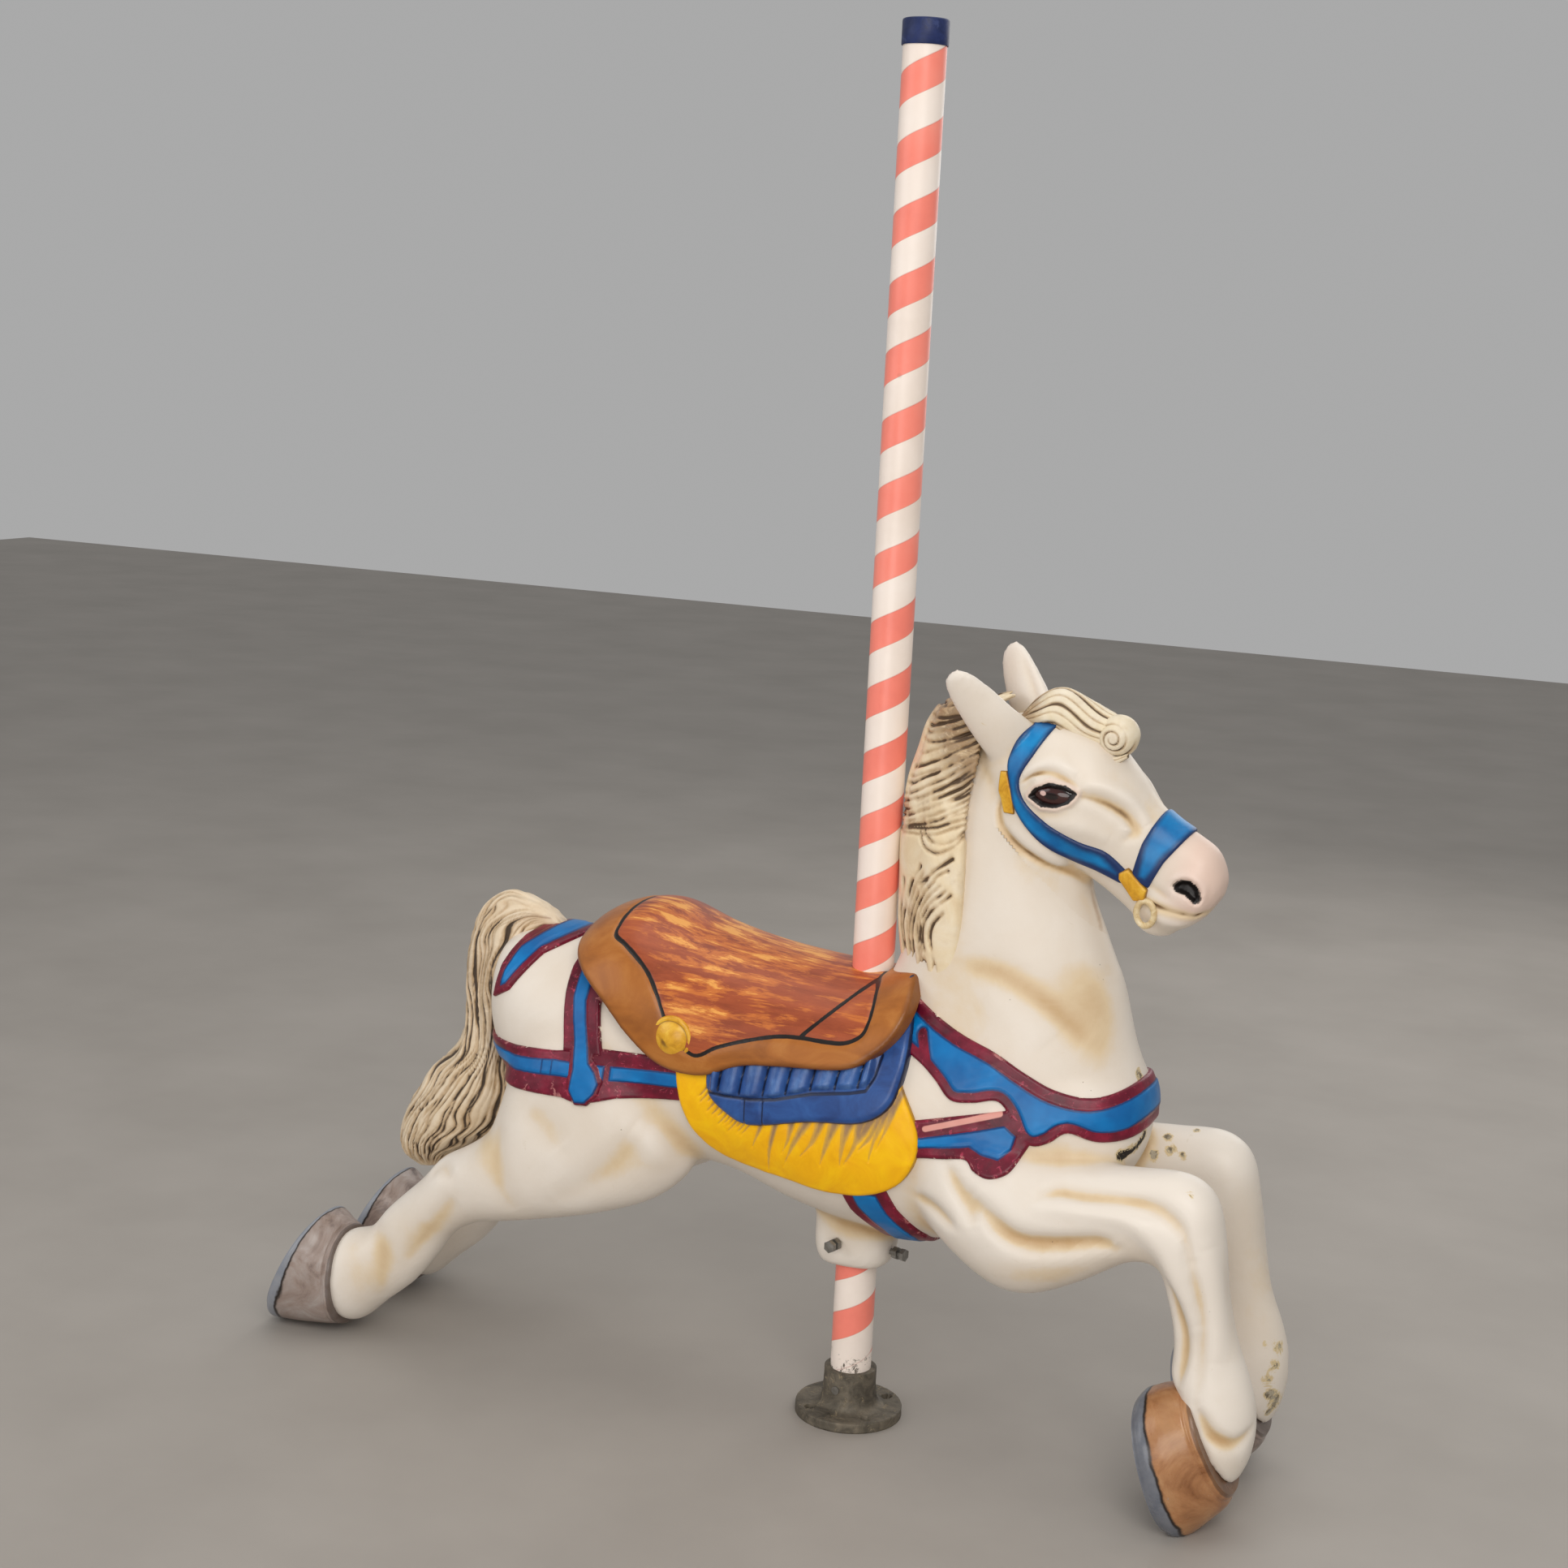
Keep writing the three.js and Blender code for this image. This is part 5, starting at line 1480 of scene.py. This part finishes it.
def make_strap(skin, name, paint, outlines, blues=(), insets=(), height=STRAP_HEIGHT, gaps=()):
    def blue(points):
        fields = [outline_depth(points, outline) for outline in blues]
        fields += [outline_depth(points, outline) - inset for outline, inset in insets]
        lines = [line_distance(points[:, [0, 2]], line) - width for line, width in gaps]
        return np.min([np.max(fields, axis=0)] + lines, axis=0)

    piece = patch(skin, lambda p: np.max([outline_depth(p, o) for o in outlines], axis=0), (0, 0.8, 2, 4),
                  lambda d, p: rounded(d, height, 4) + 1.3 * climb(blue(p), 0, 2.5)
                  + wobble(p, 30, 4) * 0.3)
    piece.marks["blue"] = blue(piece.points)
    piece.marks["pink"] = line_distance(piece.points[:, [0, 2]], PINK_HIGHLIGHT_LINE)
    show(name, piece, paint, sharp=60)


def make_straps(skin):
    paint = strap_paint()
    for name, shape in STRAPS.items():
        make_strap(skin, name, paint, **shape)


GOLD_BACK = [(158, -62, 804), (166, -65, 805), (175, -65, 779), (177, -61, 758), (164, -56, 758),
             (156, -59, 782)]
GOLD_BIT = [(294, -51, 707), (305, -51, 713), (327, -45, 691), (324, -41, 676), (311, -38, 677),
            (294, -48, 700)]


def make_bridle(face):
    blue = bridle_paint()
    gold = gold_paint()
    for name, outline in (("noseband", NOSEBAND), ("cheek_strap", CHEEK_STRAP)):
        piece = patch(face, lambda p, o=outline: outline_depth(straight_head(p), o),
                      (0, 0.7, 1.8, 3.5), lambda d, p: rounded(d, 3.4, 3.5), fine=0)
        piece.marks["low"] = climb(straight_head(piece.points)[:, 2], 765, 705)
        show(name, piece, blue, sharp=60)
    for name, outline, height in (("gold_strap", GOLD_BACK, 3.0), ("gold_bit", GOLD_BIT, 5.5)):
        flat = on_face(outline)[:, [0, 2]]
        piece = patch(face, lambda p, o=flat: np.where(np.abs(straight_head(p)[:, 1]) > 20,
                                                       outline_depth(straight_head(p), o), -60),
                      (0, 0.7, 1.8, 3), lambda d, p, h=height: rounded(d, h, 3), fine=0)
        # Painted shade along the gold pieces' edges.
        piece.marks["dark"] = climb(piece.marks["depth"], 2.5, 0) * 0.8
        show(name, piece, gold, sharp=60)


BIT_PLACE = (325, -43, 664)
BIT_RADII = (10, 14)
BIT_WIRE = 3.6
BIT_STEPS = {"around": 48, "wire": 20}


def make_bit_rings():
    paint = plain_paint("bit_paint", ("#B8935A", "#DCC79B", "#EFE3C8"), 0.36, scale=60, coat=0.2)
    t, s = angles(BIT_STEPS["around"])[:, None], angles(BIT_STEPS["wire"])[None]
    out = BIT_WIRE * np.cos(s)
    points = np.stack([(BIT_RADII[0] + out) * np.cos(t), BIT_WIRE * np.sin(s) + 0 * t,
                       (BIT_RADII[1] + out) * np.sin(t)], -1).reshape(-1, 3)
    faces = grid_faces(BIT_STEPS["around"] + 1, BIT_STEPS["wire"]) % len(points)
    skin = facing_out(Skin(points, faces))
    for name, side in (("bit_near", 1), ("bit_far", -1)):
        twin = skin.copy()
        twin.points = turned_head(twin.points + straight_head([BIT_PLACE])[0] * (1, side, 1))
        show(name, twin, paint)


POLE_RADIUS = 24.15
CAP_RADIUS = 25.8


ON_AXIS = 0.01


def make_pole():
    low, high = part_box("pole")
    rows = np.linspace(low.z / MM, high.z / MM, 200)
    profile = [(ON_AXIS, rows[0])] + [(POLE_RADIUS, z) for z in rows] + [(ON_AXIS, rows[-1])]
    show("pole_tube", lathe(profile, 72), pole_paint(), ("pole",), sharp=50)
    low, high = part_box("pole_cap")
    bottom, top = low.z / MM, high.z / MM
    profile = [(ON_AXIS, bottom + 1), (POLE_RADIUS + 0.2, bottom + 1), (CAP_RADIUS - 0.5, bottom),
               (CAP_RADIUS, bottom + 0.8), (CAP_RADIUS, top - 2.2), (CAP_RADIUS - 0.6, top - 0.8),
               (CAP_RADIUS - 2, top - 0.1), (CAP_RADIUS - 3, top), (ON_AXIS, top)]
    paint = plain_paint("cap_navy", ("#141D40", "#1B2852", "#26356A"), 0.42, scale=30, wear="#3C4A78")
    show("cap", lathe(profile, 72), paint, ("pole_cap",), sharp=50)


COLLAR_BORE = 24.3
PLATE_RADIUS = 63.5
COLLAR_TOP = 58
SCREW_CIRCLE = 49
SCREW_DEGREES = (45, 135, 225, 315)
FLANGE_PROFILE = [(COLLAR_BORE, COLLAR_TOP), (29.6, COLLAR_TOP), (30.7, 57.2), (31, 55.8), (31.3, 40),
                  (32.2, 26), (34, 18), (37, 14.2), (41, 12.4), (46, 12), (61.2, 12), (62.8, 11.2),
                  (PLATE_RADIUS, 9.6), (PLATE_RADIUS, 1.6), (62.8, 0.3), (61.6, 0), (COLLAR_BORE, 0)]


def make_flange():
    fine = catmull(FLANGE_PROFILE, np.linspace(0, 1, 97))
    skin = lathe(np.clip(fine, (COLLAR_BORE, 0), (PLATE_RADIUS, COLLAR_TOP)), 144)
    rough = wobble(skin.points, 14, 21) * 0.35 + wobble(skin.points, 6, 22) * 0.2
    outside = np.linalg.norm(skin.points[:, :2], axis=1) > COLLAR_BORE + 1.7
    hole = np.zeros(len(skin.points))
    for angle in np.radians(SCREW_DEGREES):
        centre = SCREW_CIRCLE * np.array([math.cos(angle), math.sin(angle)])
        away = np.linalg.norm(skin.points[:, :2] - centre, axis=1)
        hole = np.maximum(hole, climb(away, 6.4, 4.8) * (skin.points[:, 2] > 6))
    skin.push(np.clip(rough, -1, 0) * outside)
    skin.points[:, 2] = np.maximum(skin.points[:, 2] - hole * 8, 0)
    paint = plain_paint("flange_dark", ("#443F38", "#665F53", "#847A6A"), 0.6, metal=0.25, scale=45,
                        wear="#A4957A", bump=0.8)
    show("flange", skin, paint, ("floor_flange",), sharp=45)


def dress_fasteners():
    """The screw and the bolts stay the CAD's own meshes, and only get their metal."""
    steel = plain_paint("bolt_steel", ("#6C6860", "#8D8A84", "#A9A7A2"), 0.42, metal=0.7, scale=70,
                        wear="#5A4A38", bump=0.4)
    for name in ("flange_set_screw", "pole_bolt_1", "pole_bolt_2"):
        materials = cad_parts[name].data.materials
        materials.clear()
        materials.append(steel)


# Soft lights: name, place, size, power and colour. All of them look at the middle of the horse.
LIGHTS = (
    ("key", (1.5, -2.6, 2.6), 2.0, 49, (1.0, 0.96, 0.92)),
    ("front", (0.3, -3.0, 0.7), 1.6, 19, (1.0, 0.97, 0.95)),
    ("fill", (-2.6, -2.4, 1.8), 2.6, 25, (0.98, 0.98, 1.0)),
    ("top", (0.0, 0.4, 3.6), 3.0, 27, (1.0, 0.98, 0.95)),
    ("back", (0.6, 2.8, 2.0), 2.4, 20, (1.0, 0.98, 0.96)),
)
LIT_PLACE = Vector((0, 0, 0.5))
WORLD_GREY = (0.80, 0.80, 0.80, 1)
WORLD_STRENGTH = 0.5


def add(name, data, place=(0, 0, 0), turn=None):
    """A new object in the scene, turned by a rotation where one is given."""
    piece = bpy.data.objects.new(name, data)
    if turn is not None:
        piece.matrix_world = Matrix.Translation(place) @ turn.to_4x4()
    bpy.context.scene.collection.objects.link(piece)
    return piece


def make_stage():
    mesh = bpy.data.meshes.new("floor")
    mesh.from_pydata([(-8, -8, 0), (8, -8, 0), (8, 8, 0), (-8, 8, 0)], [], [(0, 1, 2, 3)])
    p = Paint("floor_pale", rough=0.6)
    mesh.materials.append(p.finish(p.ramp(p.noise(3, 4), (0.3, "#9E9891"), (0.7, "#A8A29B")),
                                   None, p.noise(60, 3), 0.05, 0.001))
    floor = add("floor", mesh)
    lens = bpy.data.cameras.new("camera")
    lens.lens = PHOTO_LENS
    lens.sensor_width = 36.0
    lens.clip_end = 60
    axes = Vector(CAMERA_RIGHT), -Vector(CAMERA_DOWN), -Vector(CAMERA_FORWARD)
    bpy.context.scene.camera = add("camera", lens, CAMERA_PLACE, Matrix(axes).transposed())
    for name, place, size, power, tint in LIGHTS:
        light = bpy.data.lights.new(name, "AREA")
        light.shape = "DISK"
        light.size = size
        light.energy = power
        light.color = tint
        way = LIT_PLACE - Vector(place)
        add(name, light, place, way.to_track_quat("-Z", "Y").to_matrix())
    world = bpy.data.worlds.new("studio")
    world.use_nodes = True
    background = world.node_tree.nodes["Background"].inputs
    background["Color"].default_value = WORLD_GREY
    background["Strength"].default_value = WORLD_STRENGTH
    bpy.context.scene.world = world
    bpy.context.scene.view_settings.view_transform = "Standard"


make_stage()
body, face = make_horse()
make_hooves()
make_mane()
make_tail()
make_forelock()
make_eyes()
make_saddle()
make_rosettes()
make_blanket(body)
make_cloth(body)
make_straps(body)
make_bridle(face)
make_bit_rings()
make_pole()
make_flange()
dress_fasteners()
